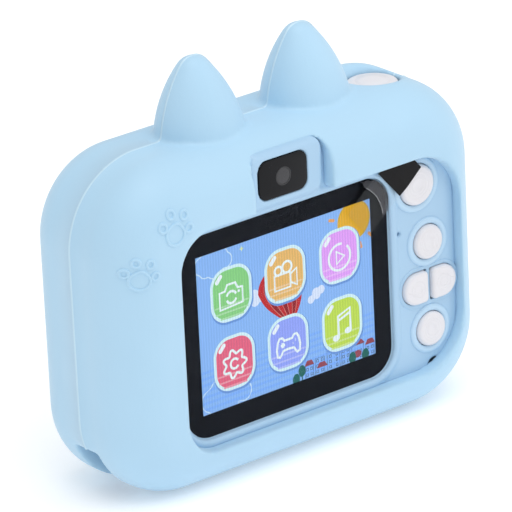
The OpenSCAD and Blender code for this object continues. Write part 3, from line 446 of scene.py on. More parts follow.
def makeSleeve():
    wall = sleeve["wall"]
    bm = bmesh.new()
    addSoftBox(bm, (sleeveLow.x, frontY, 0), (sleeveHigh.x, backY, sleeveTop),
               sleeve["corner"], sleeve["screenEdge"], sleeve["lensEdge"])
    obj = objectFrom(bm, "siliconeSleeve")

    for x in ears["places"]:
        bm = bmesh.new()
        addTurned(bm, earOutline(), (0, 0, 0), upAxis, steps=72)
        bmesh.ops.scale(bm, vec=(1, ears["depth"] / ears["width"], 1), verts=bm.verts)
        for vert in bm.verts:
            vert.co.x += ears["lean"] * vert.co.z / ears["height"]
        bmesh.ops.translate(bm, vec=(x, sleeve["seamY"], sleeveTop), verts=bm.verts)
        combine(obj, bm, "UNION")

    cutOut(obj, addSoftBox, (sleeveLow.x + wall, panelY + sleeve["overlap"], wall),
           (sleeveHigh.x - wall, backY - wall, sleeveTop - wall),
           sleeve["corner"] - wall, sleeve["cavityEdge"], sleeve["cavityEdge"])

    # both openings widen towards the front, so that their lips come out round
    edge = sleeve["rim"] + sleeve["gap"]
    bumpX = middleOf("rear_lens_window").x
    for step in range(sleeve["lipSteps"] + 1):
        share = step / sleeve["lipSteps"]
        wider = sleeve["lipWidth"] * (1 - math.sqrt(1 - share ** 2))
        depth = panelY + sleeve["lipReach"] if step == 0 else frontY + sleeve["lipDepth"] * (1 - share)
        farX = keyHigh.x + wider
        bm = bmesh.new()
        addBlock(bm, (rimLow.x - edge - wider, frontY - 1, rimLow.z - edge - wider),
                 (farX, depth, rimHigh.z + edge + wider))
        sides = [e for e in bm.edges if runsAlong(e, depthAxis)]
        roundEdges(bm, [e for e in sides if e.verts[0].co.x < 0], sleeve["openingLeft"] + wider, 12)
        roundEdges(bm, [e for e in bm.edges if runsAlong(e, depthAxis) and e.verts[0].co.x > farX - 1],
                   sleeve["openingRight"] + wider, 14)
        combine(obj, bm, "DIFFERENCE")
        spare = wider * 0.7
        cutOut(obj, addRoundPlate, bumpX - sleeve["notchLeft"] - spare, bumpX + sleeve["notchRight"] + spare,
               rimHigh.z - 6, sleeve["notchTop"] + spare, sleeve["notchCorner"] + spare, frontY - 1, depth)

    cutOut(obj, addRod, lensCentre.x, lensCentre.z, sleeve["turretHole"], backY - 5, backY + 3, 96)

    speaker = middleOf("speaker")
    spots = [(0, 0)] + [(sleeve["grillePitch"], turn) for turn in range(0, 360, 60)]
    for reach, turn in spots:
        x = speaker.x + reach * math.cos(math.radians(turn))
        z = speaker.z + reach * math.sin(math.radians(turn))
        cutOut(obj, addRod, x, z, sleeve["grilleHole"], backY - 5, backY + 1, 24)

    # the shutter's hole opens like a funnel
    flare = ((0, -4), (0, 1.0), (0.2, 1.7), (0.6, 2.3), (1.3, 2.8), (2.0, 3.1), (2.0, 9))
    outline = [(sleeve["shutterHole"] + r, h) for r, h in flare]
    cutOut(obj, addTurned, [(0, -4)] + outline + [(0, 9)], shutterTop, upAxis)

    # the port opening is a round-ended slot in the right side
    bm = bmesh.new()
    halfW, halfH = sleeve["portWidth"] / 2, sleeve["portHeight"] / 2
    portY = middleOf("usb_socket").y
    portZ = sleeve["portMiddle"]
    addBlock(bm, (38, portY - halfW, portZ - halfH), (46, portY + halfW, portZ + halfH))
    roundEdges(bm, [e for e in bm.edges if runsAlong(e, Vector((1, 0, 0)))], halfW - 0.3, 8)
    combine(obj, bm, "DIFFERENCE")

    # the strap slot is a stretch of a ring about the lower left corner
    corner = Vector((shellLow.x + 13, sleeve["seamY"], shellLow.z + 13))
    half = sleeve["strapSlot"] / 2
    start = 225 - sleeve["strapAngle"] / 2
    bm = bmesh.new()
    ring = [bm.verts.new(corner + Vector((r, y, 0)))
            for r, y in ((sleeve["strapInner"], -half), (sleeve["strapOuter"], -half),
                         (sleeve["strapOuter"], half), (sleeve["strapInner"], half))]
    face = bm.faces.new(ring)
    bmesh.ops.rotate(bm, verts=ring, cent=corner, matrix=Matrix.Rotation(-math.radians(start), 3, "Y"))
    bmesh.ops.spin(bm, geom=[face], cent=corner, axis=depthAxis, dvec=(0, 0, 0),
                   angle=-math.radians(sleeve["strapAngle"]), steps=16, use_duplicate=False)
    combine(obj, bm, "DIFFERENCE")

    softenForm(obj, sleeve["voxel"], sleeve["relax"], sleeve["keep"])
    return obj


# A raised line all round, where the two halves of the mould met
def addMouldSeam(obj):
    bm = bmesh.new()
    bm.from_mesh(obj.data)
    for shift in (-sleeve["seamHalf"], 0, sleeve["seamHalf"]):
        bmesh.ops.bisect_plane(bm, geom=bm.verts[:] + bm.edges[:] + bm.faces[:], dist=0.01,
                               plane_co=(0, sleeve["seamY"] + shift, 0), plane_no=(0, 1, 0))
    bm.normal_update()
    middle = Vector((0, sleeve["seamY"], sleeveTop / 2))
    for vert in bm.verts:
        outward = vert.normal.dot((vert.co - middle).normalized()) > 0.5 or vert.co.z > sleeveTop + 0.3
        outward = outward and abs(vert.co.x - shutterTop.x) > sleeve["shutterHole"] + 2.4
        if abs(vert.co.y - sleeve["seamY"]) < 0.012 and outward:
            vert.co += vert.normal * sleeve["seamHeight"]
    bm.to_mesh(obj.data)
    bm.free()


sleevePiece = makeSleeve()
addMouldSeam(sleevePiece)
sleeveTree = BVHTree.FromPolygons([v.co.copy() for v in sleevePiece.data.vertices],
                                  [tuple(p.vertices) for p in sleevePiece.data.polygons])
print("sleeve", len(sleevePiece.data.polygons), "faces")


# Paw prints: thin raised lines lying on the sleeve's curved corner
pawPrints = {
    "pawPrintUpper": {"centre": (-30.3, 52.7), "size": 1.0, "turn": -13},
    "pawPrintLower": {"centre": (-37.9, 45.7), "size": 0.9, "turn": -13},
}
pawShape = {"line": 0.3, "rise": 0.95, "pad": (2.0, 2.0), "toe": (0.72, 0.8),
            "toes": ((-2.85, 1.1, 20), (-1.38, 3.5, 10), (1.38, 3.5, -10), (2.85, 1.1, -20))}


# A ring of round section, stretched to an oval and narrowed towards its top if pointed
def addLoopLine(bm, radiusX, radiusZ, centre, turn, line, pointed=0.0):
    part = bmesh.new()
    circle = arcPoints(1, 0, line, 0, 360, 8)[:-1]
    verts = [part.verts.new((r, h, 0)) for r, h in circle]
    edges = [part.edges.new((verts[i], verts[(i + 1) % 8])) for i in range(8)]
    bmesh.ops.spin(part, geom=verts + edges, cent=(0, 0, 0), axis=depthAxis, dvec=(0, 0, 0),
                   angle=math.tau, steps=36, use_merge=True, use_duplicate=False)
    for vert in part.verts:
        flat = Vector((vert.co.x, vert.co.z))
        reach = flat.length
        flat.normalize()
        narrow = 1 - pointed * max(0, flat.y) ** 2
        extra = reach - 1
        vert.co.x = flat.x * (radiusX * narrow + extra)
        vert.co.z = flat.y * (radiusZ + extra)
    bmesh.ops.rotate(part, verts=part.verts, cent=(0, 0, 0),
                     matrix=Matrix.Rotation(-math.radians(turn), 3, "Y"))
    bmesh.ops.translate(part, vec=(centre[0], 0, centre[1]), verts=part.verts)
    joinShape(bm, part)


def makePawPrint(name, paw):
    bm = bmesh.new()
    addLoopLine(bm, *pawShape["pad"], (0, 0), 0, pawShape["line"], pointed=0.35)
    for x, z, turn in pawShape["toes"]:
        addLoopLine(bm, *pawShape["toe"], (x, z), turn, pawShape["line"])
    for vert in bm.verts:
        vert.co.x *= paw["size"]
        vert.co.z *= paw["size"]
    bmesh.ops.rotate(bm, verts=bm.verts, cent=(0, 0, 0),
                     matrix=Matrix.Rotation(-math.radians(paw["turn"]), 3, "Y"))
    bmesh.ops.translate(bm, vec=(paw["centre"][0], 0, paw["centre"][1]), verts=bm.verts)
    for vert in bm.verts:
        hit = sleeveTree.ray_cast(Vector((vert.co.x, frontY - 5, vert.co.z)), depthAxis)
        outward = hit[1] if hit[1].y < 0 else -hit[1]
        vert.co = hit[0] - outward * vert.co.y * pawShape["rise"]
    obj = objectFrom(bm, name)
    finishPiece(obj, "soft_silicone")


for name, paw in pawPrints.items():
    makePawPrint(name, paw)
finishPiece(sleevePiece, "soft_silicone", replaced=["silicone_sleeve"], sharpAngle=0)
# The faces along the seam ridge get a paler copy of the silicone: a painted highlight where light catches the
# raised line
sleevePiece.data.materials.append(mouldedFinish("seamPaintedHighlight", linear(202, 231, 248), 0.3, height=0.000004))
for face in sleevePiece.data.polygons:
    if abs(face.center.y / mm - sleeve["seamY"]) < sleeve["seamHalf"]:
        face.material_index = 1
print("paw prints done")


# The two hard shells inside the sleeve
shells = {"voxel": 0.36, "relax": 3, "keep": 0.3}
screwWell = {"centre": (31.0, 8.5), "outer": 2.7, "inner": 1.55, "shift": (0.2, -0.35), "depth": 1.2}
bump = {"left": -11.4, "top": 61.4, "corner": 2.8}
collar = {"gap": 0.1, "width": 1.35, "height": 0.42, "depth": 1.6, "pairWidth": 0.9, "voxel": 0.11}


# The screw well is made narrower, and the bump's left side is trimmed to suit the sleeve's notch
def makeRearShell():
    obj = objectFrom(copyOfNode("rear_shell"), "screenSideShell")
    x, z = screwWell["centre"]
    bm = bmesh.new()
    addRod(bm, x, z, screwWell["outer"], panelY + 0.01, panelY + screwWell["depth"])
    combine(obj, bm, "UNION")
    cutOut(obj, addRod, x + screwWell["shift"][0], z + screwWell["shift"][1], screwWell["inner"], panelY - 1,
           panelY + screwWell["depth"] + 0.2)
    left, top, corner = bump["left"], bump["top"], bump["corner"]
    outline = [(left - 4, rimHigh.z + 2), (left, rimHigh.z + 2)]
    outline += arcPoints(left + corner, top - corner, corner, 180, 90, 8)
    outline += [(left + corner, top + 2), (left - 4, top + 2)]
    bm = bmesh.new()
    bm.faces.new([bm.verts.new((x, frontY, z)) for x, z in outline])
    pushFaces(bm, panelY - frontY)
    combine(obj, bm, "DIFFERENCE")
    softenForm(obj, shells["voxel"], shells["relax"], shells["keep"])
    finishPiece(obj, "shell_plastic", replaced=["rear_shell"], sharpAngle=0)


# The raised collar moulded round each round button, in a paler copy of the shell plastic: a painted highlight
# for the soft glow of light round each key
def makeCollar(node, name):
    low, high = boxOf(node)
    centre = middleOf(node)
    inner = (high.x - low.x) / 2 - keys["flange"] + collar["gap"]
    outer = inner + collar["width"]
    middle = (inner + outer) / 2
    half = collar["width"] / 2
    crest = [(middle - half * c, panelY - collar["height"] * h) for c, h in arcPoints(0, 0, 1, 0, 180, 14)]
    bm = bmesh.new()
    addTurned(bm, [(inner, panelY + collar["depth"])] + crest +
              [(outer, panelY + 0.4), (inner + 0.4, panelY + collar["depth"])],
              (centre.x, 0, centre.z), steps=96, closed=True)
    obj = objectFrom(bm, name)
    finishPiece(obj, "shell_plastic", "collarPaintedHighlight", sharpAngle=60)


# The pair of half keys sits in one long collar, level with the panel, with a bridge between them
def makePairCollar():
    bm = bmesh.new()
    wide = collar["pairWidth"]
    addPill(bm, keys["pairReach"] + wide, keys["pairHalf"] + wide, panelY - 0.1, panelY + 0.6)
    obj = objectFrom(bm, "pairCollar")
    cutOut(obj, addPill, keys["pairReach"] + collar["gap"], keys["pairHalf"] + collar["gap"],
           panelY - 1, panelY + 3)
    middle = (middleOf("left_button") + middleOf("right_button")) / 2
    bridge = keys["pairGap"] - collar["gap"]
    bm = bmesh.new()
    addBlock(bm, (middle.x - bridge, panelY - 0.02, middle.z - keys["pairHalf"] - 0.4),
             (middle.x + bridge, panelY + 0.6, middle.z + keys["pairHalf"] + 0.4))
    combine(obj, bm, "UNION")
    softenForm(obj, collar["voxel"], 2, 0.25)
    finishPiece(obj, "shell_plastic", sharpAngle=0)


# A long round-ended plate about the middle of the left and right keys
def addPill(bm, reach, half, y0, y1, segments=18):
    centre = (middleOf("left_button") + middleOf("right_button")) / 2
    addRoundPlate(bm, centre.x - reach, centre.x + reach, centre.z - half, centre.z + half,
                  half - 0.001, y0, y1, segments)


def makeFrontShell():
    obj = objectFrom(copyOfNode("front_shell"), "lensSideShell")
    softenForm(obj, shells["voxel"], shells["relax"], shells["keep"])
    finishPiece(obj, "shell_plastic", replaced=["front_shell"], sharpAngle=0)


# A copy of a plain node with its hard edges rounded off
def roundedCopy(node, name, radius, segments=3, body="camera_body", test=None, limit=35):
    bm = plainCopy(node)
    edges = [e for e in bm.edges if len(e.link_faces) == 2 and e.calc_face_angle(0) > math.radians(limit)]
    if test:
        edges = [e for e in edges if test(e)]
    roundEdges(bm, edges, radius, segments)
    obj = objectFrom(bm, name)
    slot = next(p["material_slot"] for p in frame["record"]["subparts"] if p["node"] == node)
    return finishPiece(obj, slot, body=body, replaced=[node])


# The collars' paler copy of the shell plastic is a painted highlight
finishes["collarPaintedHighlight"] = mouldedFinish("collarPaintedHighlight", linear(184, 215, 239), 0.34, grain=3400,
                                          height=0.000006, drift=0.02)
keys = {"edge": 0.75, "dish": 0.16, "flange": 0.6,
        "rings": (0.34, 0.5, 0.66), "ringFoot": 0.16, "ringCrest": 0.05, "ringHeight": 0.05,
        "flangeFront": -10.75, "flangeBack": -9.85, "stem": 1.4,
        "pairReach": 6.3, "pairHalf": 3.1, "pairGap": 0.5, "pairCorner": 0.9, "pairEdge": 0.65,
        "pairRings": (0.9, 1.6)}
makeRearShell()
makeFrontShell()
for side in ("power", "up", "down"):
    makeCollar(side + "_button", side + "Collar")
makePairCollar()
roundedCopy("lanyard_bar", "strapBar", 0.45)
print("shells done")


# A round key with a shallow dish and faint turned rings in its face
def makeRoundKey(node, name, body):
    low, high = boxOf(node)
    centre = middleOf(node)
    radius = (high.x - low.x) / 2 - keys["flange"]
    front, back = low.y, high.y
    flangeFront, flangeBack, stem = keys["flangeFront"], keys["flangeBack"], keys["stem"]
    outline = [(0, front + keys["dish"])]
    foot, crest = keys["ringFoot"], keys["ringCrest"]
    for share in keys["rings"]:
        at = share * radius
        floor = front + keys["dish"] * (1 - share ** 2)
        outline += [(at - foot, floor), (at - crest, floor - keys["ringHeight"]),
                    (at + crest, floor - keys["ringHeight"]), (at + foot, floor)]
    rim = arcPoints(radius - keys["edge"], keys["edge"], keys["edge"], -90, 0, 7)
    outline += [(r, front + h) for r, h in rim]
    outline += [(radius, flangeFront), (radius + keys["flange"], flangeFront),
                (radius + keys["flange"], flangeBack), (stem, flangeBack), (stem, back), (0, back)]
    bm = bmesh.new()
    addTurned(bm, outline, (centre.x, 0, centre.z), steps=72)
    obj = objectFrom(bm, name)
    finishPiece(obj, "button_plastic", body=body, replaced=[node], sharpAngle=50)


# Half of the split pair: its cap stands on the flange and stem of the plain key
def makeHalfKey(node, name, body):
    low = boxOf(node)[0]
    side = 1 if "right" in node else -1
    bm = bmesh.new()
    addPill(bm, keys["pairReach"], keys["pairHalf"], low.y, keys["flangeFront"] + 0.1)
    middleX = (middleOf("left_button").x + middleOf("right_button").x) / 2
    cutX = middleX + side * keys["pairGap"]
    cutAway(bm, (cutX, 0, 0), (side, 0, 0))
    inner = [e for e in bm.edges if runsAlong(e, depthAxis) and abs(e.verts[0].co.x - cutX) < tiny]
    roundEdges(bm, inner, keys["pairCorner"], 6)
    tidyFaces(bm)
    roundEdges(bm, [e for e in bm.edges if liesAt(e, depthAxis, low.y)], keys["pairEdge"], 6)
    centreX = middleX + side * keys["pairHalf"]
    for reach in keys["pairRings"]:
        addTurned(bm, [(reach - 0.14, low.y + 0.1), (reach - 0.05, low.y - 0.04),
                       (reach + 0.05, low.y - 0.04), (reach + 0.14, low.y + 0.1)],
                  (centreX, 0, middleOf(node).z), steps=40, closed=True)
    base = copyOfNode(node)
    cutAway(base, (0, keys["flangeFront"] + 0.05, 0), depthAxis)
    joinShape(bm, base)
    obj = objectFrom(bm, name)
    finishPiece(obj, "button_plastic", body=body, replaced=[node])


shutter = {"stem": 4.4, "foot": -2.1, "cap": 4.85, "capHeight": 0.55, "top": 1.25, "crown": 0.4,
           "edge": 0.45, "ring": 3.2}


# The shutter key's cap spreads above the shell and is slightly domed
def makeShutterKey():
    base = copyOfNode("shutter_button")
    cutAway(base, (0, 0, shutterTop.z + shutter["foot"] + 0.1), -upAxis)
    cap, top, crown, edge, ring = (shutter[key] for key in ("cap", "top", "crown", "edge", "ring"))
    under, foot, stem = top - shutter["capHeight"], shutter["foot"], shutter["stem"]
    rise = top + crown * (1 - (ring / cap) ** 2)
    outline = [(0, foot), (stem, foot), (stem, under), (cap, under)]
    outline += arcPoints(cap - edge, top - edge, edge, 0, 80, 6)
    outline += [(ring + 0.5, rise - 0.12), (ring + 0.14, rise - 0.03), (ring, rise - 0.1),
                (ring - 0.14, rise + 0.02), (ring * 0.6, top + crown * 0.84),
                (ring * 0.3, top + crown * 0.96), (0, top + crown)]
    addTurned(base, outline, shutterTop, upAxis, steps=72)
    obj = objectFrom(base, "shutterKey")
    finishPiece(obj, "button_plastic", body="shutter_key", replaced=["shutter_button"])


for side in ("power", "up", "down"):
    makeRoundKey(side + "_button", side + "Key", side + "_key")
for side in ("left", "right"):
    makeHalfKey(side + "_button", side + "Key", side + "_key")
makeShutterKey()
print("buttons done")


# Screen: the clear window and the lit picture behind it
windowLow, windowHigh = boxOf("screen_window")


# The clear window stops a hair in front of the ink behind it
def makeWindow():
    bm = plainCopy("screen_window")
    for vert in bm.verts:
        if vert.co.y > windowHigh.y - tiny:
            vert.co.y = windowHigh.y - 0.02
    roundEdges(bm, [e for e in bm.edges if liesAt(e, depthAxis, windowLow.y)], 0.12, 2)
    obj = objectFrom(bm, "screenWindow")
    finishPiece(obj, "clear_acrylic", replaced=["screen_window"])


# The picture's layers stand a hair apart, so that each covers the one behind
picture = {"middle": (-3.1, 29.8), "size": (41.4, 31.2), "step": 0.0105, "thick": 0.008,
           "tile": (9.6, 10.6), "tileCorner": 3.7, "tileBorder": 0.62, "stroke": 0.55,
           "star": (-12.9, 44.0), "sun": (13.5, 42.0, 3.9)}
paints = {
    "sky": linear(140, 186, 247), "skyLow": linear(128, 178, 250), "cloudLine": linear(206, 232, 252),
    "cloud": linear(220, 232, 254), "sun": linear(236, 180, 46), "ray": linear(236, 168, 104),
    "sunEdge": linear(214, 176, 62), "balloon": linear(196, 36, 38), "balloonDark": linear(150, 24, 32),
    "balloonLine": linear(232, 150, 140), "border": linear(214, 243, 249), "shadow": linear(108, 152, 222),
    "glyph": linear(236, 248, 250), "shine": linear(238, 246, 252), "wallLine": linear(42, 64, 118),
    "roof": linear(150, 70, 84), "tree": linear(34, 104, 96), "star": linear(222, 236, 170),
    "green": linear(139, 212, 132), "orange": linear(235, 187, 109), "violet": linear(230, 163, 250),
    "red": linear(232, 102, 132), "blue": linear(150, 167, 251), "lime": linear(195, 224, 83),
}
for name in ("green", "orange", "violet", "red", "blue", "lime"):
    paints[name + "Pale"] = tuple(c + (1 - c) * 0.22 for c in paints[name])
pictureY = boxOf("display_panel")[0].y
art = bmesh.new()
litLayer = art.loops.layers.float_color.new("litColour")


def placeArt(part, layer, colour):
    tidyFaces(part)
    front = pictureY - picture["step"] * layer
    bmesh.ops.translate(part, vec=(0, front, 0), verts=part.verts)
    known = len(art.faces)
    joinShape(art, part)
    art.faces.ensure_lookup_table()
    for face in art.faces[known:]:
        for loop in face.loops:
            loop[litLayer] = paints[colour]


# A flat outline with round corners, given a hair of thickness
def fillArt(points, layer, colour, corner=0.0, segments=6):
    part = bmesh.new()
    verts = [part.verts.new((x, 0, z)) for x, z in points]
    part.faces.new(verts)
    if corner:
        bmesh.ops.bevel(part, geom=verts, offset=corner, segments=segments, affect="VERTICES",
                        profile=0.5, material=-1, clamp_overlap=True)
    pushFaces(part, -picture["thick"])
    placeArt(part, layer, colour)


def rectangle(x, z, width, height, turn=0):
    corners = ((-1, -1), (1, -1), (1, 1), (-1, 1))
    angle = math.radians(turn)
    return [(x + (a * width * math.cos(angle) - b * height * math.sin(angle)) / 2,
             z + (a * width * math.sin(angle) + b * height * math.cos(angle)) / 2) for a, b in corners]


def ellipse(x, z, radiusX, radiusZ, steps=28):
    return [(x + a * radiusX, z + b * radiusZ) for a, b in arcPoints(0, 0, 1, 0, 360, steps)[:-1]]


# Drawn lines of one width, pressed flat
def strokeArt(lines, layer, colour, width):
    curve = bpy.data.curves.new("lines", "CURVE")
    curve.dimensions = "3D"
    curve.bevel_depth = width / 2
    curve.bevel_resolution = 1
    curve.use_fill_caps = True
    for points, closed in lines:
        spline = curve.splines.new("POLY")
        spline.points.add(len(points) - 1)
        for spot, (x, z) in zip(spline.points, points):
            spot.co = (x, 0, z, 1)
        spline.use_cyclic_u = closed
    obj = bpy.data.objects.new("lines", curve)
    scene.collection.objects.link(obj)
    mesh = bpy.data.meshes.new_from_object(obj.evaluated_get(bpy.context.evaluated_depsgraph_get()))
    bpy.data.objects.remove(obj)
    part = bmesh.new()
    part.from_mesh(mesh)
    bmesh.ops.scale(part, vec=(1, picture["thick"] / width, 1), verts=part.verts)
    placeArt(part, layer, colour)


# The outline round several puffs that run together
def puffOutline(x, z, puffs, steps=56):
    points = []
    for i in range(steps):
        angle = math.tau * i / steps
        ray = Vector((math.cos(angle), math.sin(angle)))
        reach = 0.1
        for px, pz, radius in puffs:
            along = ray.x * px + ray.y * pz
            aside = px * px + pz * pz - along * along
            if radius * radius > aside:
                reach = max(reach, along + math.sqrt(radius * radius - aside))
        points.append((x + ray.x * reach, z + ray.y * reach))
    return points


def drawSky():
    middleX, middleZ = picture["middle"]
    width, height = picture["size"]
    fillArt(rectangle(middleX, middleZ, width, height), 0, "sky")
    for i in range(7):
        fillArt(rectangle(middleX, 15.4 + i * 1.2, width, 0.5), 0.5, "skyLow")
    puffs = ((-2.6, 0.2, 1.7), (-0.9, 1.3, 1.9), (1.5, 1.1, 1.9), (2.9, -0.1, 1.5),
             (0.3, -1.0, 1.9), (-1.8, -0.9, 1.4))
    strokeArt([(puffOutline(-19.6, 43.0, puffs), True)], 1, "cloudLine", 0.24)
    wide = [(a * 1.35, b * 1.25, r * 1.3) for a, b, r in puffs]
    strokeArt([(puffOutline(-18.0, 16.6, wide), True)], 1, "cloudLine", 0.26)
    small = ((-1.1, -0.2, 0.8), (0, 0.35, 0.95), (1.1, 0.1, 0.85), (0.2, -0.3, 0.8))
    fillArt(puffOutline(3.9, 30.2, [(a * 1.1, b + a * 0.45, r) for a, b, r in small]), 1, "cloud")
    fillArt(puffOutline(-10.6, 33.5, [(a * 1.5, b * 1.5, r * 1.35) for a, b, r in small]), 1, "cloud")
    x, z = picture["star"]
    star = [(x + r * math.cos(i * math.pi / 4), z + r * math.sin(i * math.pi / 4))
            for i, r in enumerate((0.55, 0.2) * 4)]
    fillArt(star, 1, "star")


def drawSun():
    x, z, radius = picture["sun"]
    fillArt(ellipse(x, z, radius, radius, 40), 1, "sunEdge")
    fillArt(ellipse(x, z, radius - 0.3, radius - 0.3, 40), 2, "sun")
    for turn in range(-75, 285, 30):
        reach = radius + 1.5
        rayX, rayZ = reach * math.cos(math.radians(turn)), reach * math.sin(math.radians(turn))
        fillArt(rectangle(x + rayX, z + rayZ, 1.5, 0.62, turn), 1, "ray", 0.28, 4)


# Gores fan up from the balloon's mouth to its widest place and close over the top
def drawBalloon():
    gores = 7

    def edge(share):
        points = []
        for i in range(11):
            t = i / 10
            bulge = share * 0.9 * math.sin(math.pi * t)
            x = (-2.5 + 1.4 * share) * (1 - t) + (-4.7 + 4.9 * share) * t + bulge
            points.append((x, 27.4 + 6.6 * t))
        for a, b in arcPoints(0, 0, 1, 0, 84, 8)[1:]:
            points.append((-4.7 + 4.9 * share * a, 34.0 + 4.4 * b))
        return points

    for i in range(gores):
        left = edge(-1 + 2 * i / gores)
        right = edge(-1 + 2 * (i + 1) / gores)
        fillArt(left + right[::-1], 1.9, "balloon" if i % 2 == 0 else "balloonDark")
    strokeArt([(edge(-1 + 2 * i / gores), False) for i in range(1, gores)], 2.8, "balloonLine", 0.09)


def drawHouses():
    walls = []
    for x, z, width, height in ((1.6, 14.2, 1.9, 2.6), (4.1, 14.2, 2.2, 3.4), (7.4, 14.2, 3.0, 4.2),
                                (10.3, 14.2, 2.0, 3.6), (13.2, 14.2, 2.9, 3.2), (16.2, 14.2, 2.0, 2.6)):
        walls.append((rectangle(x, z + height / 2, width, height), True))
        for row in range(int(height / 1.1)):
            for column in (-0.26, 0.26):
                walls.append((rectangle(x + column * width, z + 0.8 + row * 1.05, 0.42, 0.5), True))
    strokeArt(walls, 1, "wallLine", 0.17)
    for x, z, width in ((1.6, 16.8, 2.3), (4.6, 15.6, 2.6), (7.4, 18.4, 3.4), (13.2, 17.4, 3.5),
                        (16.2, 16.8, 2.4)):
        fillArt([(x - width / 2, z), (x + width / 2, z), (x + width / 4, z + 1.0), (x - width / 4, z + 1.0)],
                2, "roof", 0.12, 2)
    for x, z in ((-0.2, 16.2), (-1.6, 14.9), (11.9, 15.2), (15.0, 15.0)):
        fillArt(ellipse(x, z, 0.85, 1.15, 16), 2, "tree")
        fillArt(rectangle(x, z - 1.3, 0.25, 1.2), 1, "tree")
    fillArt(ellipse(13.2, 15.6, 0.9, 0.75, 16), 1, "roof")


# Each glyph is a list of lines, and whether each line closes
def glyphLines(kind):
    if kind == "photo":
        body = [(-2.7, -2.3), (2.6, -2.0), (2.6, 1.0), (1.5, 1.1), (1.0, 2.2), (-0.9, 2.2), (-1.4, 1.1),
                (-2.7, 1.0)]
        return [(body, True), (arcPoints(0, -0.4, 1.15, 20, 160, 8), False),
                (arcPoints(0, -0.4, 1.15, 200, 340, 8), False), ([(1.5, 0.35), (2.0, 0.35)], False)]
    if kind == "film":
        body = rectangle(-0.7, -0.9, 3.7, 2.9)
        lens = [(1.2, 0.1), (2.7, 0.9), (2.7, -2.4), (1.2, -1.5)]
        return [(body, True), (lens, True), (arcPoints(-1.6, 1.4, 0.85, 0, 345, 14), True),
                (arcPoints(0.45, 1.7, 1.1, 0, 345, 14), True)]
    if kind == "play":
        return [(arcPoints(0, 0, 2.55, 75, 405, 30), False),
                ([(-0.75, -1.25), (-0.75, 1.25), (1.15, 0)], True)]
    if kind == "gear":
        teeth = [(2.35 + 0.42 * math.cos(7 * math.tau * i / 84), math.tau * i / 84) for i in range(84)]
        return [([(r * math.cos(t), r * math.sin(t)) for r, t in teeth], True),
                (arcPoints(0, 0, 0.95, 30, 330, 14), False)]
    if kind == "pad":
        half = [(0, 0.95), (0.95, 0.95), (1.35, 1.55), (2.0, 1.6), (2.45, 0.9), (2.75, -0.6), (2.6, -1.9),
                (2.0, -2.1), (1.25, -1.0), (0, -0.9)]
        outline = half + [(-x, z) for x, z in half[::-1][1:-1]]
        return [(outline, True), ([(-1.8, 0.1), (-0.8, 0.1)], False), ([(-1.3, -0.4), (-1.3, 0.6)], False),
                ([(1.05, -0.1), (1.15, -0.1)], False), ([(1.65, 0.4), (1.75, 0.4)], False)]
    return [([(-0.95, -2.1), (-0.95, 1.9), (1.95, 2.9), (1.95, -1.3)], False),
            ([(-0.95, 1.0), (1.95, 2.0)], False)]


tileColumns = (-15.77, -3.13, 9.75)
tileRows = {36.2: (("green", "photo"), ("orange", "film"), ("violet", "play")),
            22.8: (("red", "gear"), ("blue", "pad"), ("lime", "note"))}


# A tile: its shadow, pale border, coloured face with pale bands and a shine, then its glyph
def drawTile(x, z, colour, kind):
    width, height = picture["tile"]
    border = picture["tileBorder"]
    corner = picture["tileCorner"]
    fillArt(rectangle(x + 0.12, z - 0.3, width + 0.3, height + 0.3), 3.7, "shadow", corner, 10)
    fillArt(rectangle(x, z, width, height), 4.5, "border", corner, 10)
    fillArt(rectangle(x, z, width - 2 * border, height - 2 * border), 5.3, colour, corner - border, 10)
    for share, wide in ((-0.2, 0.96), (-0.32, 0.9), (-0.42, 0.66)):
        fillArt(rectangle(x, z + share * height, (width - 2 * border) * wide, 0.34), 6.0,
                colour + "Pale", 0.16, 3)
    fillArt(rectangle(x - 2.75, z + 3.35, 2.1, 0.85, 48), 6.1, "shine", 0.4, 4)
    strokeArt([([(x + a, z - 0.35 + b) for a, b in points], closed) for points, closed in glyphLines(kind)],
              6.9, "glyph", picture["stroke"])
    if kind == "note":
        for headX, headZ in ((-1.55, -2.25), (1.35, -1.45)):
            fillArt(ellipse(x + headX, z - 0.35 + headZ, 0.85, 0.62, 18), 6.9, "glyph")


def makePicture():
    drawSky()
    drawSun()
    drawBalloon()
    drawHouses()
    for z, row in tileRows.items():
        for x, (colour, kind) in zip(tileColumns, row):
            drawTile(x, z, colour, kind)
    mesh = bpy.data.meshes.new("displayPicture")
    art.to_mesh(mesh)
    art.free()
    obj = bpy.data.objects.new("displayPicture", mesh)
    scene.collection.objects.link(obj)
    finishPiece(obj, "display_glass", sharpAngle=30)


makeWindow()
makePicture()
print("screen done")


# Protective film and its pull tab
tab = {"centre": (21.0, 47.2), "angle": 40.6, "stand": 0.03}
film = {"corner": 5.3, "liftCentre": (11.8, 41.0), "liftRadius": 8.0, "thick": 0.02}
finishes["clearTab"] = veilFinish("clearTab", linear(225, 230, 236), 0.022, 0.12)
finishes["liftedFilmPaintedReflection"] = veilFinish("liftedFilmPaintedReflection", linear(205, 205, 214), 0.045, 0.3)
finishes["creasePaintedHighlight"] = veilFinish("creasePaintedHighlight", linear(214, 216, 222), 0.3, 0.2)


# The pull tab is clear where it sticks to the window and black where it is held
def makeTab():
    angle = math.radians(tab["angle"])
    along = Vector((math.cos(angle), 0, math.sin(angle)))
    middle = Vector((tab["centre"][0], 0, tab["centre"][1]))
    for name, finish, slot, toBlack in (("tabBlack", "tab_film", "tab_film", 1),
                                        ("tabClear", "clearTab", "clear_film", -1)):
        bm = copyOfNode("film_pull_tab")
        cutAway(bm, middle, along * toBlack)
        for vert in bm.verts:
            vert.co.y -= tab["stand"]
        obj = objectFrom(bm, name)
        finishPiece(obj, slot, finish, replaced=["film_pull_tab"], sharpAngle=30)


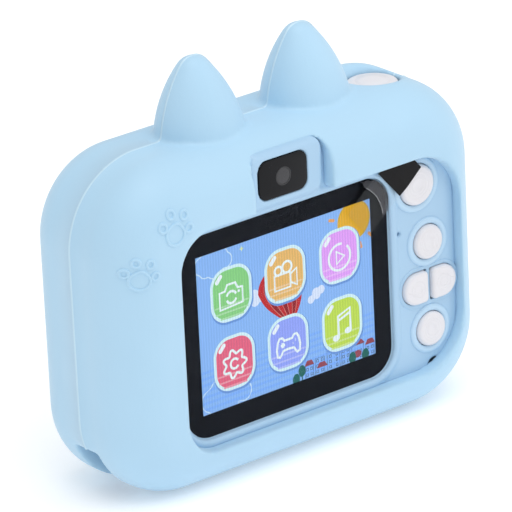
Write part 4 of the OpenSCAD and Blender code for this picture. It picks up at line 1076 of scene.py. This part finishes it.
def makeFilmPatch(name, outline, depth, finish):
    bm = bmesh.new()
    bm.faces.new([bm.verts.new((x, depth, z)) for x, z in outline])
    pushFaces(bm, -film["thick"])
    finishPiece(objectFrom(bm, name), "clear_film", finish, sharpAngle=30)


# Where the tab pulls, the film's corner stands off the window; its paler crescent is a painted reflection, a
# pale flat patch laid just in front of the film
def makeLiftedCorner():
    low, high = boxOf("protective_film")
    radius = film["corner"]
    outer = arcPoints(high.x - radius, high.z - radius, radius, 97, -22, 14)
    inner = arcPoints(*film["liftCentre"], film["liftRadius"], 0, 62, 12)
    makeFilmPatch("filmCorner", outer + inner, low.y - 0.012, "liftedFilmPaintedReflection")


# The film keeps a hair off the window, so that each has its own surface
def makeFilm():
    bm = plainCopy("protective_film")
    back = boxOf("protective_film")[1].y
    for vert in bm.verts:
        if vert.co.y > back - tiny:
            vert.co.y -= 0.03
    obj = objectFrom(bm, "windowFilm")
    finishPiece(obj, "clear_film", replaced=["protective_film"])


# The crease where the lifted corner leaves the window, drawn as a pale line: a painted highlight where light
# catches the fold
def makeCrease():
    inner = arcPoints(*film["liftCentre"], film["liftRadius"] - 0.05, 6, 58, 16)
    outer = arcPoints(*film["liftCentre"], film["liftRadius"] + 0.07, 58, 6, 16)
    makeFilmPatch("filmCrease", inner + outer, boxOf("protective_film")[0].y - 0.034, "creasePaintedHighlight")


makeFilm()
makeCrease()
makeTab()
makeLiftedCorner()
print("film done")


# The small dark window of the camera above the screen, with its eye and bezel
def makeRearCamera():
    front = boxOf("rear_lens_window")[0].y
    middle = middleOf("rear_lens_window")
    centre = (middle.x, front, middle.z)
    roundedCopy("rear_lens_window", "rearLensWindow", 0.22, 3, test=lambda e: liesAt(e, depthAxis, front))
    bm = bmesh.new()
    addTurned(bm, [(0, -0.05), (0.6, -0.045), (1.2, -0.03), (1.5, -0.01), (1.5, 0.3), (0, 0.3)],
              centre, steps=48)
    finishPiece(objectFrom(bm, "rearLensEye"), "lens_element", "rearEye")
    bm = bmesh.new()
    addTurned(bm, [(1.5, 0.1), (1.52, -0.05), (1.62, -0.08), (1.78, -0.03), (1.8, 0.1)],
              centre, steps=64, closed=True)
    finishPiece(objectFrom(bm, "rearLensBezel"), "black_plastic")


finishes["rearEye"] = mouldedFinish("greyLensEye", linear(38, 38, 43), 0.22, height=0.000001, Coat_Weight=0.2)
makeRearCamera()
print("rear camera done")


# Lens side: trim ring, cover, barrel, lamp, and the sockets at the side
lensSide = {"ringInner": 11.2, "ringOuter": 14.6, "cover": 10.9, "circles": (9.6, 6.2), "aperture": 5.4,
            "flashHole": 1.7, "flashX": 7.4, "barrel": 4.6, "grooves": 4, "seat": 11.4, "glass": 2.72,
            "glassRise": 1.15}
finishes["clearCover"] = veilFinish("clearCover", linear(30, 33, 42), 0.03, 0.04)
finishes["lensCoat"] = mouldedFinish("lensCoat", linear(30, 36, 66), 0.06, grain=300, height=0.0000005,
                                     Coat_Weight=1.0, Coat_Roughness=0.02)


def turnedPiece(name, outline, slot, finish=None, replaced=(), closed=True, steps=96, sharpAngle=40):
    bm = bmesh.new()
    addTurned(bm, outline, (lensCentre.x, 0, lensCentre.z), steps=steps, closed=closed)
    return finishPiece(objectFrom(bm, name), slot, finish, replaced=replaced, sharpAngle=sharpAngle)


# The white trim ring slopes down to the cover in two steps
def makeLensRing():
    back, front = boxOf("lens_ring")[0].y, boxOf("lens_ring")[1].y
    inner, outer = lensSide["ringInner"], lensSide["ringOuter"]
    outline = [(inner, back), (outer, back)]
    outline += arcPoints(outer - 0.45, front - 0.45, 0.45, 0, 90, 6)
    outline += [(outer - 1.5, front - 0.02), (outer - 1.62, front - 0.16), (outer - 1.86, front - 0.16),
                (outer - 1.98, front - 0.04)]
    outline += arcPoints(inner + 0.5, front - 0.55, 0.5, 90, 180, 6)
    turnedPiece("lensTrimRing", outline, "button_plastic", replaced=["lens_ring"])


# The cover is clear, with a black mask behind that leaves the lens and the lamp in view
def makeLensCover():
    back, front = boxOf("front_lens_cover")[0].y, boxOf("front_lens_cover")[1].y
    outer = lensSide["cover"]
    turnedPiece("lensCover", [(0, back + 0.35), (outer, back + 0.35), (outer, front - 0.15),
                              (outer - 0.15, front), (0, front)],
                "clear_acrylic", "clearCover", ["front_lens_cover"], closed=False)
    aperture = lensSide["aperture"]
    bm = bmesh.new()
    addTurned(bm, [(aperture, back + 0.1), (aperture + 0.2, back), (outer - 0.05, back),
                   (outer - 0.05, back + 0.33), (aperture, back + 0.33)],
              (lensCentre.x, 0, lensCentre.z), steps=96, closed=True)
    mask = objectFrom(bm, "lensMask")
    cutOut(mask, addRod, lensCentre.x + lensSide["flashX"], lensCentre.z, lensSide["flashHole"],
           back - 1, back + 1, 32)
    finishPiece(mask, "lens_glass", sharpAngle=30)
    for name, radius in zip(("coverCircleWide", "coverCircleNarrow"), lensSide["circles"]):
        turnedPiece(name, [(radius - 0.12, back + 0.3), (radius + 0.12, back + 0.3),
                           (radius + 0.12, back + 0.34), (radius - 0.12, back + 0.34)], "switch_metal")


# The barrel steps down towards its glass, with light-trapping grooves on the slope
def makeLensBarrel():
    back, front = boxOf("front_lens_barrel")[0].y, boxOf("front_lens_barrel")[1].y
    barrel, seat, glass = lensSide["barrel"], lensSide["seat"], lensSide["glass"]
    outline = [(0, back), (barrel, back), (barrel, front - 0.2), (barrel - 0.2, front),
               (barrel - 0.45, front)]
    radius, height = barrel - 0.5, front - 0.1
    for step in range(lensSide["grooves"]):
        outline += [(radius, height), (radius - 0.06, height - 0.22)]
        radius -= 0.32
        height -= 0.22
        outline.append((radius + 0.04, height - 0.02))
    outline += [(2.75, seat + 1.2), (2.7, seat), (0, seat)]
    turnedPiece("lensBarrel", outline, "black_plastic", replaced=["front_lens_barrel"], closed=False,
                steps=72, sharpAngle=25)
    dome = [(glass * x, seat + 0.22 + lensSide["glassRise"] * z) for x, z in arcPoints(0, 0, 1, 90, 0, 10)]
    turnedPiece("lensGlass", dome + [(glass, seat + 0.05), (0, seat + 0.05)], "lens_element", "lensCoat",
                ["front_lens_element"], closed=False, steps=64, sharpAngle=50)
    turnedPiece("lensRetainer", [(2.2, seat + 0.95), (2.74, seat + 0.95), (2.74, seat + 1.22),
                                 (2.3, seat + 1.22)], "chip_black", steps=64)


lamp = {"ribs": 5, "pitch": 0.5, "ribHalf": 0.14, "margin": 0.5, "ribRise": 0.12}
socket = {"tongueHalf": 0.3, "margin": 1.0, "contacts": 6, "pitch": 0.8, "contactHalf": 0.16, "proud": 0.06}


# The lamp is a small yellow die under a clear ribbed lens
def makeFlashLamp():
    low, high = boxOf("flash_lamp")
    roundedCopy("flash_lamp", "flashLamp", 0.25, 3)
    bm = bmesh.new()
    half, margin = lamp["ribHalf"], lamp["margin"]
    for i in range(lamp["ribs"]):
        x = middleOf("flash_lamp").x + (i - (lamp["ribs"] - 1) / 2) * lamp["pitch"]
        addRoundPlate(bm, x - half, x + half, low.z + margin, high.z - margin, 0.13,
                      high.y - 0.05, high.y + lamp["ribRise"], 4)
    finishPiece(objectFrom(bm, "flashRibs"), "lamp_resin")


# Inside the charging socket stands a tongue with its row of contacts
def makeSockets():
    low, high = boxOf("usb_socket")
    middle = (low + high) / 2
    bm = bmesh.new()
    half, margin = socket["tongueHalf"], socket["margin"]
    addBlock(bm, (low.x + 0.4, middle.y - half, low.z + margin),
             (high.x - 0.5, middle.y + half, high.z - margin))
    roundEdges(bm, bm.edges[:], 0.12, 3)
    finishPiece(objectFrom(bm, "socketTongue"), "black_plastic")
    bm = bmesh.new()
    proud, wide = half + socket["proud"], socket["contactHalf"]
    for i in range(socket["contacts"]):
        z = middle.z + (i - (socket["contacts"] - 1) / 2) * socket["pitch"]
        addBlock(bm, (middle.x, middle.y - proud, z - wide), (high.x - 0.7, middle.y + proud, z + wide))
    roundEdges(bm, bm.edges[:], 0.05, 2)
    finishPiece(objectFrom(bm, "socketContacts"), "switch_metal")
    roundedCopy("memory_card", "memoryCard", 0.14, 2, body="card")
    roundedCopy("card_socket", "cardSocket", 0.12, 2)
    roundedCopy("battery", "batteryCell", 0.9, 4)


makeLensRing()
makeLensCover()
makeLensBarrel()
makeFlashLamp()
makeSockets()
print("lens side done")


# Floor, light and camera
studio = {"floorSize": 6.0, "floorGlow": 0.2, "worldStrength": 0.66, "worldColour": (0.98, 0.99, 1, 1),
          "keyPlace": (-0.06, -0.24, 0.95), "keyEnergy": 4.2, "keySize": 1.0,
          "fillPlace": (0.7, -0.6, 0.5), "fillEnergy": 1.0, "fillSize": 0.6,
          "cameraPlace": (-0.58146, -0.73459, 0.41042), "cameraForward": (0.5762, 0.7279, -0.3716),
          "cameraUp": (0.2683, 0.261, 0.9273), "lens": 386.8}


def makeFloor():
    bm = bmesh.new()
    bmesh.ops.create_grid(bm, x_segments=8, y_segments=8, size=studio["floorSize"] / 2)
    mesh = bpy.data.meshes.new("floor")
    bm.to_mesh(mesh)
    bm.free()
    obj = bpy.data.objects.new("floor", mesh)
    scene.collection.objects.link(obj)
    material, tree, shader = newFinish("paleFloor", {"Roughness": 0.9, "Emission Color": (1, 1, 1, 1),
                                                     "Emission Strength": studio["floorGlow"]})
    shadeBetween(tree, noiseIn(tree, 3, 2.0), shader.inputs["Base Color"],
                 (0.96, 0.96, 0.96, 1), (0.975, 0.975, 0.975, 1))
    mesh.materials.append(material)


def addSoftLight(name, place, size, energy, target=(0, 0, 0.03)):
    light = bpy.data.lights.new(name, "AREA")
    light.shape = "DISK"
    light.size = size
    light.energy = energy
    obj = bpy.data.objects.new(name, light)
    obj.location = place
    obj.rotation_euler = (Vector(target) - Vector(place)).to_track_quat("-Z", "Y").to_euler()
    scene.collection.objects.link(obj)


def makeCamera():
    camera = bpy.data.cameras.new("camera")
    camera.sensor_width = 36
    camera.lens = studio["lens"]
    camera.clip_start = 0.01
    camera.clip_end = 50
    forward = Vector(studio["cameraForward"]).normalized()
    up = Vector(studio["cameraUp"])
    right = forward.cross(up).normalized()
    up = right.cross(forward)
    obj = bpy.data.objects.new("camera", camera)
    turn = Matrix((right, up, -forward)).transposed().to_4x4()
    obj.matrix_world = Matrix.Translation(studio["cameraPlace"]) @ turn
    scene.collection.objects.link(obj)
    scene.camera = obj


makeFloor()
world = bpy.data.worlds.new("studio")
scene.world = world
world.use_nodes = True
background = world.node_tree.nodes["Background"]
background.inputs["Color"].default_value = studio["worldColour"]
background.inputs["Strength"].default_value = studio["worldStrength"]
for light in ("key", "fill"):
    addSoftLight(light + "Light", studio[light + "Place"], studio[light + "Size"], studio[light + "Energy"])
makeCamera()
print("studio done")
